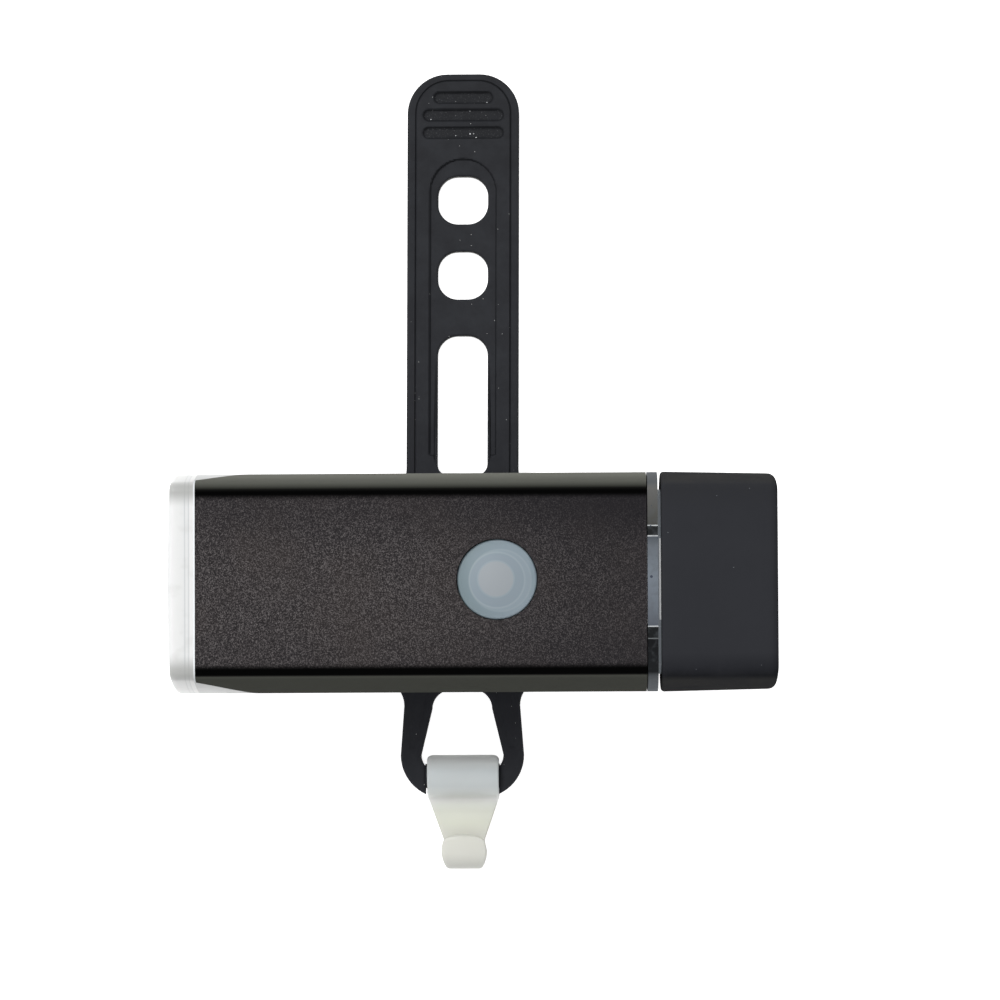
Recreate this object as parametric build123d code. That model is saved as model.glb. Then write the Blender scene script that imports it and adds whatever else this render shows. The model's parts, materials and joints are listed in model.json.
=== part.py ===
"""Front bike light: a bowed aluminium sleeve with a clear lens, a capped plug and a swivelling strap.

Millimetres. The origin lies on the strap's swivel axis, in the plane that the saddle's feet rest on.
+Z runs from the handlebar up through the light, -X is the beam's direction, and +Y is the strap's long arm.
"""
import math
import os

from build123d import *

# Housing section: flat top and bottom, bowed sides
housing_width = 30.0
housing_height = 26.0
housing_bottom = 7.0
side_bow = 1.85
shoulder_radius = 1.5
inner_corner_radius = 0.6
housing_wall = 1.8
fit = 0.1

# Sleeve
pivot_to_front = 35.5
sleeve_length = 61.2
scoop_depth = 8.0
scoop_height = 22.4
scoop_belly_x = 0.46
scoop_belly_z = 0.7
scoop_tip_radius = 2.0
scoop_lead_radius = 0.6

# Front lens
lens_depth = 3.5
lens_wall = 1.5
lens_side_wall = 2.0
lens_step = 0.8
lens_front_radius = 320.0
lens_edge_radius = 0.7
spigot_wall = 1.1
lens_spigot_depth = 2.0
gasket_width = 0.5

# Optic, its holder and the emitter
optic_margin = 1.2
optic_length = 8.0
optic_flange = 1.0
optic_flange_step = 0.8
optic_screw_gap = 0.9
optic_recess_radius = 2.7
optic_recess_depth = 3.0
optic_play = 0.2
bezel_thickness = 1.0
bezel_lip = 0.4
led_board_margin = 1.0
led_screw_margin = 1.9
led_board_thickness = 1.5
emitter_width = 3.5
emitter_base = 0.7
emitter_dome_radius = 1.3
spreader_thickness = 3.0
lead_spacing = 6.0
lead_margin = 2.0
lead_radius = 0.55
lead_drop = 3.2
lead_bend = 2.4

# Chassis and boards
tray_wall = 1.0
board_thickness = 1.0
board_margin = 0.5
battery_top_gap = 0.25
battery_side_gap = 0.9
battery_end_gap = 0.3
battery_corner = 1.0
battery_lead_radius = 0.44
battery_lead_reach = 1.4
battery_lead_drop = 2.6
battery_lead_bend = 1.0
foam_thickness = 1.5
post_radius = 1.8

# Parts on the board
inductor_offset = 14.0
inductor_width = 5.0
inductor_height = 2.6
inductor_corner = 1.2
chip_offset = 10.0
chip_length = 5.0
chip_width = 4.0
chip_height = 1.2
lamp_length = 1.6
lamp_width = 0.8
lamp_height = 0.6
lamp_gap = 0.8
lamp_margin = 2.0

# Button
button_x = 5.5
button_hole_radius = 5.5
button_sink = 0.45
button_steps = ((5.35, 0.0), (4.6, 0.12), (3.5, 0.24), (2.6, 0.36))
button_flange_radius = 6.6
button_flange = 1.0
plunger_radius = 2.0
button_travel = 0.4
switch_width = 6.0
switch_height = 3.4
switch_stem_radius = 1.7
switch_stem = 0.5
guide_width = 18.0
guide_length = 14.0
guide_wall = 1.0
guide_gap = 0.6
plunger_play = 0.08

# Charging plug
plug_width = 12.0
plug_height = 4.5
plug_reach = 11.75
plug_shell_wall = 0.3
plug_root = 6.0
latch_length = 2.0
latch_width = 2.2
latch_spacing = 5.2
latch_to_tip = 5.9
tongue_width = 11.2
tongue_thickness = 1.9
contact_width = 1.0
contact_pitch = 2.35
contact_count = 4
contact_thickness = 0.15
contact_setback = 0.7
tongue_play = 0.05
tongue_setback = 0.5
tongue_base = 3.8
tower_wall = 1.8
tower_corner = 0.8

# Clear end collar
collar_width = 1.4
collar_gap = 0.12
ring_wall = 1.6
lip_thickness = 0.5
cap_spigot_inset = 2.4
cap_spigot_wall = 1.6
cap_spigot_length = 4.0
end_plate_thickness = 1.2
seal_width = 1.2
seal_depth = 0.8
seal_proud = 0.1

# Rear cap
cap_gap = 0.4
cap_length = 15.8
cap_swell = 0.05
cap_draft = 1.2
cap_inset = 2.1
cap_end_wall = 2.4
cap_front_edge = 0.5
cap_rear_edge = 1.1

# Screws
small_screw_radius = 1.0
small_head_radius = 1.6
small_head = 1.1
small_screw_length = 6.0
recess_width = 0.45
recess_share = 0.6
thread_play = 0.02
screw_end_gap = 0.6
boss_wall = 0.6
screw_wall_gap = 0.45

# Swivel
pivot_radius = 1.5
pivot_head_radius = 2.8
pivot_head = 1.0
swivel_gap = 0.1
base_flange_radius = 9.0
base_flange = 0.7
base_spigot_radius = 4.5
ring_bore_gap = 0.05
ring_thickness = 1.45
ring_flange = 0.8
ring_flange_radius = 9.0
ring_hub_radius = 7.0
washer_radius = 6.2
washer_thickness = 0.7
washer_play = 0.3
nut_across_flats = 5.5
nut_thickness = 1.8
nut_boss_radius = 4.2
nut_floor = 0.4
hex_recess_radius = 1.0
hex_recess_depth = 0.7

# Strap: arm, pad and loop moulded in one
strap_mid_z = 3.0
strap_thickness = 2.4
arm_half_width = 7.85
arm_tip = 72.2
arm_tip_radius = 5.6
border_width = 1.3
border_tip_width = 0.95
border_tip_radius = 4.6
border_depth = 0.3
panel_width = 9.3
panel_depth = 0.4
panel_top = 60.2
panel_bottom = 18.4
pad_half_length = 13.4
pad_half_width = 13.0
pad_top = 6.2
pad_corner = 1.5
pad_edge = 0.6
pad_flare = 3.6
saddle_radius = 16.0
saddle_rise = 2.8
hole_width = 7.0
hole_height = 6.75
hole_corner = 2.8
hole_near = 43.8
hole_pitch = 10.6
hole_count = 2
slot_near = 15.7
slot_far = 35.3
slot_near_corner = 1.5
grip_depth = 0.5
grip_height = 1.75
grip_pitch = 2.48
grip_near = 63.9
grip_lengths = (11.2, 11.2, 8.3)

# Loop
loop_half_width = 8.62
loop_root_half_width = 7.9
loop_end = 29.55
loop_corner = 6.0
loop_bar_inner = 25.35
opening_top = 14.4
opening_root_half_width = 3.7
opening_half_width = 5.75
opening_bottom_corner = 2.2
leg_strip_inset = 1.05
leg_strip_start = 14.0
leg_strip_end = 22.45
leg_strip_corner = 0.5
leg_strip_depth = 0.3

# Hook
bar_y = 26.45
bar_root = 0.1
bar_radius = 1.7
hook_width = 10.0
hook_side_gap = 0.24
eye_play = 0.15
eye_wall = 1.1
hook_plate = 1.5
hook_end = 39.45
hook_corner = 0.6
hook_blend = 2.0
hook_waist = 1.15
hook_waist_rise = 0.45
hook_neck_half_width = 2.9
hook_neck_y = 35.35
tab_width = 6.2
tab_length = 4.9
tab_shoulder_half_width = 2.8
tab_tip_rise = 0.55
tab_belly = 2.3
tab_foot_half_width = 2.4
tab_foot_radius = 0.5
hook_gap = 2.2

# Places worked out from the sizes above
mid_z = housing_bottom + housing_height / 2
side_radius = ((housing_height / 2) ** 2 + side_bow ** 2) / (2 * side_bow)
side_centre = housing_width / 2 - side_radius
sleeve_front = -pivot_to_front
sleeve_rear = sleeve_front + sleeve_length
lens_front = sleeve_front - lens_depth
lens_inner_inset = housing_wall + fit + spigot_wall
spigot_end = sleeve_front + lens_spigot_depth
holder_front = spigot_end + gasket_width + fit / 2
optic_front = holder_front + bezel_thickness + fit / 2
optic_radius = housing_height / 2 - housing_wall - optic_margin
led_board_front = optic_front + optic_length + optic_play
spreader_front = led_board_front + led_board_thickness
led_board_radius = optic_radius - led_board_margin
led_screw_y = led_board_radius - led_screw_margin
optic_back_radius = led_screw_y - small_head_radius - optic_screw_gap
lead_height = led_board_radius - lead_margin
tray_front = spreader_front + spreader_thickness + 2 * fit
tray_rear = sleeve_rear
board_top = -plug_height / 2
board_bottom = board_top - board_thickness
floor_z = -housing_height / 2 + housing_wall + fit
foam_bottom = floor_z + tray_wall
battery_bottom = foam_bottom + foam_thickness
battery_top = board_bottom - battery_top_gap
collar_front = sleeve_rear + collar_gap
collar_rear = collar_front + collar_width
cap_front = collar_rear + cap_gap
cap_rear = cap_front + cap_length
plug_tip = collar_rear + plug_reach
plug_back = collar_front - plug_root
tower_half_width = plug_width / 2 + fit + tower_wall
tower_half_height = plug_height / 2 + fit + tower_wall
post_x = tray_front + post_radius + fit
boss_front = tray_rear - small_screw_length + screw_end_gap - boss_wall
battery_front = post_x + post_radius + 2 * fit
battery_rear = boss_front - battery_end_gap
screw_z = board_bottom - 2 * small_head_radius
spigot_inner = cap_spigot_inset + cap_spigot_wall
base_bottom = housing_bottom - base_flange
ring_bottom = pad_top - ring_thickness
washer_top = ring_bottom - swivel_gap
head_top = washer_top - washer_thickness
eye_radius = bar_radius + eye_play
eye_outer = eye_radius + eye_wall


def corner_y(inset=0.0):
    """Half the width of the flat top or bottom, before rounding, at a depth inside the housing."""
    half_height = housing_height / 2 - inset
    return side_centre + math.sqrt((side_radius - inset) ** 2 - half_height ** 2)


def outline(inset=0.0):
    """The housing's section, set in from the outside: two flats joined by two bowed sides."""
    half_height = housing_height / 2 - inset
    half_width = housing_width / 2 - inset
    corner = corner_y(inset)
    edges = [
        Line((-corner, half_height), (corner, half_height)),
        ThreePointArc((corner, half_height), (half_width, 0), (corner, -half_height)),
        Line((corner, -half_height), (-corner, -half_height)),
        ThreePointArc((-corner, -half_height), (-half_width, 0), (-corner, half_height)),
    ]
    face = make_face(edges)
    return fillet(face.vertices(), max(shoulder_radius - inset, inner_corner_radius))


def section_plane(x):
    """A plane across the light at x, centred in the housing: its own x is +Y and its own y is +Z."""
    return Plane(origin=(x, 0, mid_z), x_dir=(0, 1, 0), z_dir=(1, 0, 0))


def prism(x_from, x_to, face):
    """A section carried straight along the light."""
    return extrude(section_plane(x_from) * face, amount=x_to - x_from)


def tube(x_from, x_to, outer, inner):
    """A straight length of housing section with its inside taken out."""
    return prism(x_from, x_to, outline(outer)) - prism(x_from, x_to, outline(inner))


def block(x_from, x_to, y_from, y_to, z_from, z_to):
    """A box between two corners, with z counted from the housing's middle."""
    size = (x_to - x_from, y_to - y_from, z_to - z_from)
    centre = ((x_from + x_to) / 2, (y_from + y_to) / 2, mid_z + (z_from + z_to) / 2)
    return Pos(*centre) * Box(*size)


def rod_x(x_from, x_to, y, z, radius):
    """A round rod along the light, with z counted from the housing's middle."""
    return prism(x_from, x_to, Pos(y, z) * Circle(radius))


def rod_z(x, y, z_from, z_to, radius):
    """An upright round rod, with z counted from the saddle's feet."""
    return extrude(Plane.XY.offset(z_from) * Pos(x, y) * Circle(radius), amount=z_to - z_from)


def screw_y():
    """How far the tray's and the collar's screws stand from the middle, just inside the cap's spigot."""
    return corner_y(spigot_inner) - small_head_radius - screw_wall_gap


def board_half_width():
    """Half the width of the main board."""
    return corner_y(housing_wall) - board_margin


def scoop_face(clearance):
    """The scoop seen from the side: two arcs to a rounded tip, with a rounded lead-in at the front."""
    depth = scoop_depth - clearance
    half = scoop_height / 2 - clearance
    lead = half + 2 * scoop_lead_radius
    edges = [ThreePointArc((0, half), (scoop_belly_x * depth, scoop_belly_z * half), (depth, 0)),
             ThreePointArc((depth, 0), (scoop_belly_x * depth, -scoop_belly_z * half), (0, -half)),
             Line((0, -half), (0, half))]
    face = fillet(make_face(edges).vertices().sort_by(Axis.X)[-1], scoop_tip_radius)
    face += Pos(-lens_depth / 2, 0) * Rectangle(lens_depth, 2 * lead)
    root = [v for v in face.vertices() if abs(v.X) < fit / 2 and abs(abs(v.Y) - half) < fit / 2]
    return fillet(root, scoop_lead_radius)


def scoop_cutter(clearance=0.0):
    """The bites out of the sleeve's two side walls at its front."""
    side = Plane(origin=(sleeve_front, 0, mid_z), x_dir=(1, 0, 0), z_dir=(0, -1, 0))
    bite = extrude(side * scoop_face(clearance), amount=housing_width, both=True)
    inner = corner_y(housing_wall) + clearance
    middle = block(lens_front, sleeve_rear, -inner, inner, -housing_height, housing_height)
    return bite - middle


def housing_sleeve():
    """The extruded tube, with its scoops, the button's hole and the pivot's hole."""
    body = tube(sleeve_front, sleeve_rear, 0, housing_wall)
    body -= scoop_cutter()
    top = housing_bottom + housing_height
    body -= rod_z(button_x, 0, mid_z, top + fit, button_hole_radius)
    body -= rod_z(0, 0, base_bottom, housing_bottom + 2 * housing_wall, pivot_radius + fit)
    return body


def front_lens():
    """The clear nose: a shallow bowed box with a spigot into the sleeve and a wing in each scoop."""
    nose = prism(lens_front, sleeve_front, outline())
    bow = extrude(
        Plane.XY.offset(housing_bottom) * Pos(lens_front + lens_front_radius, 0) * Circle(lens_front_radius),
        amount=housing_height,
    )
    nose &= bow
    nose = fillet(nose.faces().sort_by(Axis.X)[0].edges(), lens_edge_radius)
    nose -= prism(lens_front + lens_wall, sleeve_front - lens_step, outline(lens_side_wall))
    spigot = prism(sleeve_front, spigot_end, outline(housing_wall + fit))
    wings = prism(sleeve_front, sleeve_front + scoop_depth, outline()) & scoop_cutter(fit)
    inside = prism(sleeve_front - lens_step, spigot_end, outline(lens_inner_inset))
    inside += prism(spigot_end, sleeve_front + scoop_depth, outline(housing_wall + fit))
    return nose + spigot + wings - inside


def lens_gasket():
    """The flat seal between the lens's spigot and the optic's holder."""
    return tube(spigot_end, spigot_end + gasket_width, housing_wall + fit, lens_inner_inset)


def optic_holder():
    """The black cradle round the optic, with a bezel lip in front and room for the emitter's board behind."""
    play = fit / 2
    body = prism(holder_front, spreader_front - play, outline(housing_wall + fit + play))
    body -= rod_x(holder_front, optic_front, 0, 0, optic_radius - bezel_lip)
    body -= rod_x(optic_front - play, spreader_front, 0, 0, optic_radius + optic_play)
    return body


def beam_optic():
    """The collimating lens: a cone under a round flange, hollowed at the back for the emitter's dome."""
    back = optic_front + optic_length
    neck = optic_front + optic_flange
    points = [
        (0, optic_front),
        (optic_radius, optic_front),
        (optic_radius, neck),
        (optic_radius - optic_flange_step, neck),
        (optic_back_radius, back),
        (optic_recess_radius, back),
        (optic_recess_radius, back - optic_recess_depth),
        (0, back - optic_recess_depth),
    ]
    half = make_face(Polyline(*[(x, mid_z + r) for r, x in points], close=True))
    return revolve(Plane.XZ * half, axis=Axis((0, 0, mid_z), (1, 0, 0)))


def led_board():
    """The round metal-core board, with slots for its leads and notches for its two screws."""
    board = rod_x(led_board_front, spreader_front, 0, 0, led_board_radius)
    for y in (-lead_spacing / 2, lead_spacing / 2):
        board -= rod_x(led_board_front, spreader_front, y, lead_height, lead_radius + fit)
    for y in (-led_screw_y, led_screw_y):
        board -= rod_x(led_board_front, spreader_front, y, 0, small_screw_radius + fit)
    return board


def led_emitter():
    """The emitter: a square base and a clear dome."""
    half = emitter_width / 2
    base = block(led_board_front - emitter_base, led_board_front, -half, half, -half, half)
    base_front = led_board_front - emitter_base
    ball = Pos(base_front, 0, mid_z) * Sphere(emitter_dome_radius)
    return base + (ball & block(base_front - emitter_width, base_front, -half, half, -half, half))


def cross_recess(x, y, z, direction, radius, depth):
    """A cross slot sunk into a screw's head at a point, along a direction."""
    plane = Plane(origin=(x, y, z), z_dir=direction)
    cross = Rectangle(2 * radius, recess_width) + Rectangle(recess_width, 2 * radius)
    return extrude(plane * cross, amount=-depth)


def small_screw(x, y, z, direction, length=small_screw_length):
    """A pan-head machine screw whose head seats at a point, with its head's side along a direction."""
    plane = Plane(origin=(x, y, z), z_dir=direction)
    head = extrude(plane * Circle(small_head_radius), amount=small_head)
    shank = extrude(plane * Circle(small_screw_radius), amount=-length)
    top = plane.origin + plane.z_dir * small_head
    return head + shank - cross_recess(top.X, top.Y, top.Z, direction, small_head_radius * recess_share,
                                       small_head * recess_share)


def led_screws():
    """Two screws that clamp the emitter's board to the heat spreader."""
    length = tray_front - fit - led_board_front
    places = (-led_screw_y, led_screw_y)
    return Part() + [small_screw(led_board_front, y, mid_z, (-1, 0, 0), length) for y in places]


def heat_spreader():
    """The aluminium plate that carries the emitter's heat to the sleeve."""
    rear = spreader_front + spreader_thickness
    body = prism(spreader_front, rear, outline(housing_wall + fit / 2))
    for y in (-lead_spacing / 2, lead_spacing / 2):
        body -= rod_x(spreader_front, rear, y, lead_height, lead_radius + 2 * fit)
    for y in (-led_screw_y, led_screw_y):
        body -= rod_x(spreader_front, rear, y, 0, small_screw_radius + thread_play)
    return body


def led_leads():
    """Two insulated leads from the emitter's board, back over the spreader and down to the main board."""
    drop_x = tray_front + lead_drop
    leads = []
    for y in (-lead_spacing / 2, lead_spacing / 2):
        start = (led_board_front, y, mid_z + lead_height)
        corner = (drop_x, y, mid_z + lead_height)
        end = (drop_x, y, mid_z + board_top)
        path = FilletPolyline(start, corner, end, radius=lead_bend)
        leads.append(sweep(Plane(origin=start, z_dir=(1, 0, 0)) * Circle(lead_radius), path=path))
    return Part() + leads


def tray_posts(top):
    """Upright posts near the tray's front, for the board's screws."""
    return [rod_z(post_x, y, mid_z + floor_z, mid_z + top, post_radius) for y in (-screw_y(), screw_y())]


def chassis_tray():
    """The sliding tray: a trough whose rims carry the board, with posts, a rear wall and a nut pocket."""
    outer = prism(tray_front, tray_rear, outline(housing_wall + fit))
    inner = prism(tray_front + tray_wall, tray_rear - tray_wall, outline(housing_wall + fit + tray_wall))
    lower = block(tray_front, tray_rear, -housing_width, housing_width, -housing_height, board_bottom)
    tray = (outer - inner) & lower
    tray += tray_posts(board_bottom)
    thread = small_screw_radius + thread_play
    board_seat = mid_z + board_bottom
    for y in (-screw_y(), screw_y()):
        tray += rod_x(boss_front, tray_rear, y, screw_z, post_radius)
        tray -= rod_x(boss_front + boss_wall, tray_rear, y, screw_z, thread)
        tray -= rod_z(post_x, y, board_seat - small_screw_length + board_thickness, board_seat, thread)
    boss_top = mid_z + battery_bottom - fit
    tray += rod_z(0, 0, mid_z + floor_z, boss_top, nut_boss_radius)
    tray -= rod_z(0, 0, mid_z + floor_z, boss_top, pivot_radius + fit)
    pocket = RegularPolygon(nut_across_flats / 2 + fit / 2, 6, major_radius=False)
    tray -= extrude(Plane.XY.offset(nut_bottom()) * pocket, amount=boss_top - nut_bottom())
    return tray


def nut_bottom():
    """The height of the floor under the pivot's nut."""
    return mid_z + floor_z + nut_floor


def pivot_nut():
    """The thin nut in the tray's pocket, which holds the pivot screw."""
    hexagon = RegularPolygon(nut_across_flats / 2, 6, major_radius=False) - Circle(pivot_radius + thread_play)
    return extrude(Plane.XY.offset(nut_bottom()) * hexagon, amount=nut_thickness)


def battery_half_width():
    """Half the width of the cell and its foam, which stand clear of the tray's sides."""
    return corner_y(housing_wall + fit + tray_wall) - battery_side_gap


def battery_cell():
    """The flat pouch cell, with softly rounded edges."""
    half = battery_half_width()
    cell = block(battery_front, battery_rear, -half, half, battery_bottom, battery_top)
    return fillet(cell.edges().filter_by(Axis.X), battery_corner)


def battery_pad():
    """The foam pad under the cell, open round the nut's boss."""
    half = battery_half_width()
    pad = block(battery_front, battery_rear, -half, half, foam_bottom, battery_bottom)
    return pad - rod_z(0, 0, housing_bottom, mid_z, nut_boss_radius + fit)


def battery_leads():
    """Two short leads from the cell's end up to the main board."""
    lead_z = mid_z + board_bottom - battery_lead_drop
    leads = []
    for y in (-lead_spacing / 2, lead_spacing / 2):
        start = (battery_rear, y, lead_z)
        corner = (battery_rear + battery_lead_reach, y, lead_z)
        end = (battery_rear + battery_lead_reach, y, mid_z + board_bottom)
        path = FilletPolyline(start, corner, end, radius=battery_lead_bend)
        leads.append(sweep(Plane(origin=start, z_dir=(1, 0, 0)) * Circle(battery_lead_radius), path=path))
    return Part() + leads


def main_board():
    """The control board on the tray's rims."""
    half = board_half_width()
    board = block(tray_front, tray_rear - board_margin, -half, half, board_bottom, board_top)
    for y in (-screw_y(), screw_y()):
        board -= rod_z(post_x, y, mid_z + board_bottom, mid_z, small_screw_radius + fit)
    return board


def board_screws():
    """Two screws that hold the board down on the tray's posts."""
    length = small_screw_length - fit
    places = (-screw_y(), screw_y())
    return Part() + [small_screw(post_x, y, mid_z + board_top, (0, 0, 1), length) for y in places]


def tact_switch():
    """The switch under the button, with its round stem."""
    body = on_board(button_x, 0, switch_width, switch_width, switch_height)
    top = mid_z + board_top + switch_height
    return body + rod_z(button_x, 0, top, top + switch_stem, switch_stem_radius)


def on_board(x, y, length, width, height):
    """A block that stands on the main board, centred at a place."""
    return block(x - length / 2, x + length / 2, y - width / 2, y + width / 2, board_top, board_top + height)


def indicator_leds():
    """Small lamps on the board: two beside the switch and two behind the clear collar."""
    beside_switch = switch_width / 2 + lamp_gap + lamp_width / 2
    near_edge = board_half_width() - lamp_margin
    lamps = []
    for x, y in ((button_x, beside_switch), (tray_rear - lamp_margin, near_edge)):
        lamps += [on_board(x, -y, lamp_length, lamp_width, lamp_height)]
        lamps += [on_board(x, y, lamp_length, lamp_width, lamp_height)]
    return Part() + lamps


def power_inductor():
    """The driver's square inductor."""
    x = button_x - inductor_offset
    coil = on_board(x, board_half_width() / 2, inductor_width, inductor_width, inductor_height)
    return fillet(coil.edges().filter_by(Axis.Z), inductor_corner)


def charge_chip():
    """The charging controller."""
    return on_board(button_x + chip_offset, -board_half_width() / 2, chip_length, chip_width, chip_height)


def button():
    """The translucent button: a stepped face, a flange behind the wall and a plunger to the switch."""
    top = housing_bottom + housing_height - button_sink
    wall_inside = housing_bottom + housing_height - housing_wall
    flange_top = wall_inside - 3 * fit
    piece = rod_z(button_x, 0, flange_top, top, button_steps[0][0])
    for radius, rise in button_steps[1:]:
        piece += rod_z(button_x, 0, flange_top, top + rise, radius)
    piece += rod_z(button_x, 0, flange_top - button_flange, flange_top, button_flange_radius)
    stem_top = mid_z + board_top + switch_height + switch_stem
    piece += rod_z(button_x, 0, stem_top + button_travel + fit, flange_top, plunger_radius)
    return piece


def button_guide():
    """The bridge over the switch, with a bore that guides the plunger."""
    half = guide_width / 2
    x_from = button_x - guide_length / 2
    x_to = button_x + guide_length / 2
    top = housing_height / 2 - housing_wall - 3 * fit - button_flange - button_travel - guide_gap
    bridge = block(x_from, x_to, -half, half, board_top, top)
    bridge -= block(x_from, x_to, -half + guide_wall, half - guide_wall, board_top, top - guide_wall)
    return bridge - rod_z(button_x, 0, mid_z + board_top, mid_z + top, plunger_radius + plunger_play)


def plug_bulkhead():
    """The black end wall in the collar, open above and round the plug's tower."""
    inset = ring_wall + fit / 2
    rear = collar_rear - lip_thickness - fit / 2
    wall = prism(collar_front, rear, outline(inset))
    half = tower_half_width + fit
    wall -= block(collar_front, rear, -half, half, -tower_half_height - fit, housing_height)
    for y in (-screw_y(), screw_y()):
        wall -= rod_x(collar_front, rear, y, screw_z, small_screw_radius + fit)
    return wall


def end_collar():
    """The clear moulding: a visible ring, a spigot for the cap, and a tower round the plug."""
    spigot_to = collar_rear + cap_spigot_length
    lip = collar_rear - lip_thickness
    body = tube(collar_front, collar_rear, 0, ring_wall)
    body += tube(lip, collar_rear, ring_wall / 2, spigot_inner)
    body += tube(lip, spigot_to, cap_spigot_inset, spigot_inner)
    body += prism(collar_rear, collar_rear + end_plate_thickness, outline(spigot_inner - fit))
    tower = Rectangle(2 * tower_half_width, 2 * tower_half_height)
    body += prism(collar_front + fit, spigot_to, fillet(tower.vertices(), tower_corner))
    window = Rectangle(plug_width + 2 * fit, plug_height + 2 * fit)
    body -= prism(collar_front, spigot_to, window)
    for y in (-screw_y(), screw_y()):
        body -= rod_x(lip, spigot_to, y, screw_z, small_screw_radius + fit)
    body -= seal_ring(0)
    return body


def seal_ring(proud):
    """The seal's ring round the spigot, standing proud by a given height."""
    seal_from = collar_rear + (cap_spigot_length - seal_width) / 2
    return tube(seal_from, seal_from + seal_width, cap_spigot_inset - proud, cap_spigot_inset + seal_depth)


def collar_screws():
    """Two screws from behind, through the collar and its end wall into the tray."""
    seat = collar_rear + end_plate_thickness
    return Part() + [small_screw(seat, y, mid_z + screw_z, (1, 0, 0)) for y in (-screw_y(), screw_y())]


def usb_shell():
    """The plug's folded metal shell, with two latch windows in each wide face."""
    outer = Rectangle(plug_width, plug_height)
    inner = Rectangle(plug_width - 2 * plug_shell_wall, plug_height - 2 * plug_shell_wall)
    shell = prism(plug_back, plug_tip, outer) - prism(plug_back, plug_tip, inner)
    x = plug_tip - latch_to_tip
    for y in (-latch_spacing / 2, latch_spacing / 2):
        shell -= block(x - latch_length / 2, x + latch_length / 2, y - latch_width / 2, y + latch_width / 2,
                       -plug_height, plug_height)
    return shell


def tongue_top():
    """The height of the tongue's contact face above the plug's lower wall."""
    return -plug_height / 2 + plug_shell_wall + tongue_play + tongue_thickness


def usb_tongue():
    """The plug's plastic tongue, which fills the lower half of its shell."""
    half = tongue_width / 2
    bottom = tongue_top() - tongue_thickness
    back = plug_back + 2 * fit
    base_top = plug_height / 2 - plug_shell_wall - tongue_play
    base = block(back, back + tongue_base, -half, half, bottom, base_top)
    return base + block(back, plug_tip - tongue_setback, -half, half, bottom, tongue_top())


def usb_contacts():
    """The row of gold contacts on the tongue."""
    strips = []
    x_from = plug_back + tongue_base + 3 * fit
    x_to = plug_tip - tongue_setback - contact_setback
    for index in range(contact_count):
        y = (index - (contact_count - 1) / 2) * contact_pitch
        strips.append(block(x_from, x_to, y - contact_width / 2, y + contact_width / 2,
                            tongue_top(), tongue_top() + contact_thickness))
    return Part() + strips


def rear_cap():
    """The soft-touch cap over the plug: a drafted cup with a rounded rear edge."""
    plane = section_plane(cap_front)
    cap = extrude(plane * outline(-cap_swell), amount=cap_length, taper=cap_draft)
    cap = fillet(cap.faces().sort_by(Axis.X)[-1].edges(), cap_rear_edge)
    cap = fillet(cap.faces().sort_by(Axis.X)[0].edges(), cap_front_edge)
    return cap - prism(cap_front, cap_rear - cap_end_wall, outline(cap_inset))


def pivot_base():
    """The fixed bearing under the sleeve: a flange and the spigot that the strap's ring turns on."""
    flange = rod_z(0, 0, base_bottom, housing_bottom, base_flange_radius)
    spigot = rod_z(0, 0, washer_top, housing_bottom, base_spigot_radius)
    return flange + spigot - rod_z(0, 0, washer_top, housing_bottom, pivot_radius + fit)


def retaining_washer():
    """The washer that keeps the strap's ring on the spigot."""
    washer = rod_z(0, 0, head_top, washer_top, washer_radius)
    return washer - rod_z(0, 0, head_top, washer_top, pivot_radius + fit)


def pivot_screw():
    """The screw up through the swivel into the nut."""
    head = rod_z(0, 0, head_top - pivot_head, head_top, pivot_head_radius)
    shank = rod_z(0, 0, head_top, nut_bottom() + nut_thickness, pivot_radius)
    hexagon = Plane.XY.offset(head_top - pivot_head) * RegularPolygon(hex_recess_radius, 6)
    return head + shank - extrude(hexagon, amount=hex_recess_depth)


def ring_blank(radius_gap=0.0):
    """The outside of the strap's stiff ring: a wide flange with a hub on top."""
    flange = rod_z(0, 0, ring_bottom, ring_bottom + ring_flange, ring_flange_radius + radius_gap)
    return flange + rod_z(0, 0, ring_bottom, pad_top, ring_hub_radius + radius_gap)


def swivel_ring():
    """The stiff ring moulded into the strap's pad, which turns on the fixed spigot."""
    return ring_blank() - rod_z(0, 0, ring_bottom, pad_top, base_spigot_radius + ring_bore_gap)


def arm_outline():
    """The long arm's plan: a straight band with a broad rounded tip."""
    band = Pos(0, arm_tip / 2) * Rectangle(2 * arm_half_width, arm_tip)
    return fillet(band.vertices().group_by(Axis.Y)[-1], arm_tip_radius)


def loop_outline():
    """The loop's plan: two legs that spread to a bar with rounded ends."""
    root = (loop_root_half_width, -pad_half_width)
    side = (loop_half_width, -loop_end + loop_corner)
    foot = (loop_half_width - loop_corner, -loop_end)
    turn = math.radians(45)
    middle = (foot[0] + loop_corner * math.sin(turn), side[1] - loop_corner * math.cos(turn))
    right = [Line((0, 0), (loop_root_half_width, 0)), Line((loop_root_half_width, 0), root), Line(root, side),
             ThreePointArc(side, middle, foot), Line(foot, (0, -loop_end)), Line((0, -loop_end), (0, 0))]
    half = make_face(right)
    return half + mirror(half, about=Plane.YZ)


def loop_opening():
    """The opening between the legs: a tapered window that widens towards the bar."""
    window = Polyline(
        (-opening_root_half_width, -opening_top), (opening_root_half_width, -opening_top),
        (opening_half_width, -loop_bar_inner), (-opening_half_width, -loop_bar_inner), close=True)
    face = make_face(window)
    by_y = face.vertices().group_by(Axis.Y)
    face = fillet(by_y[0], opening_bottom_corner)
    return fillet(face.vertices().group_by(Axis.Y)[-1], hole_corner)


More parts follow.
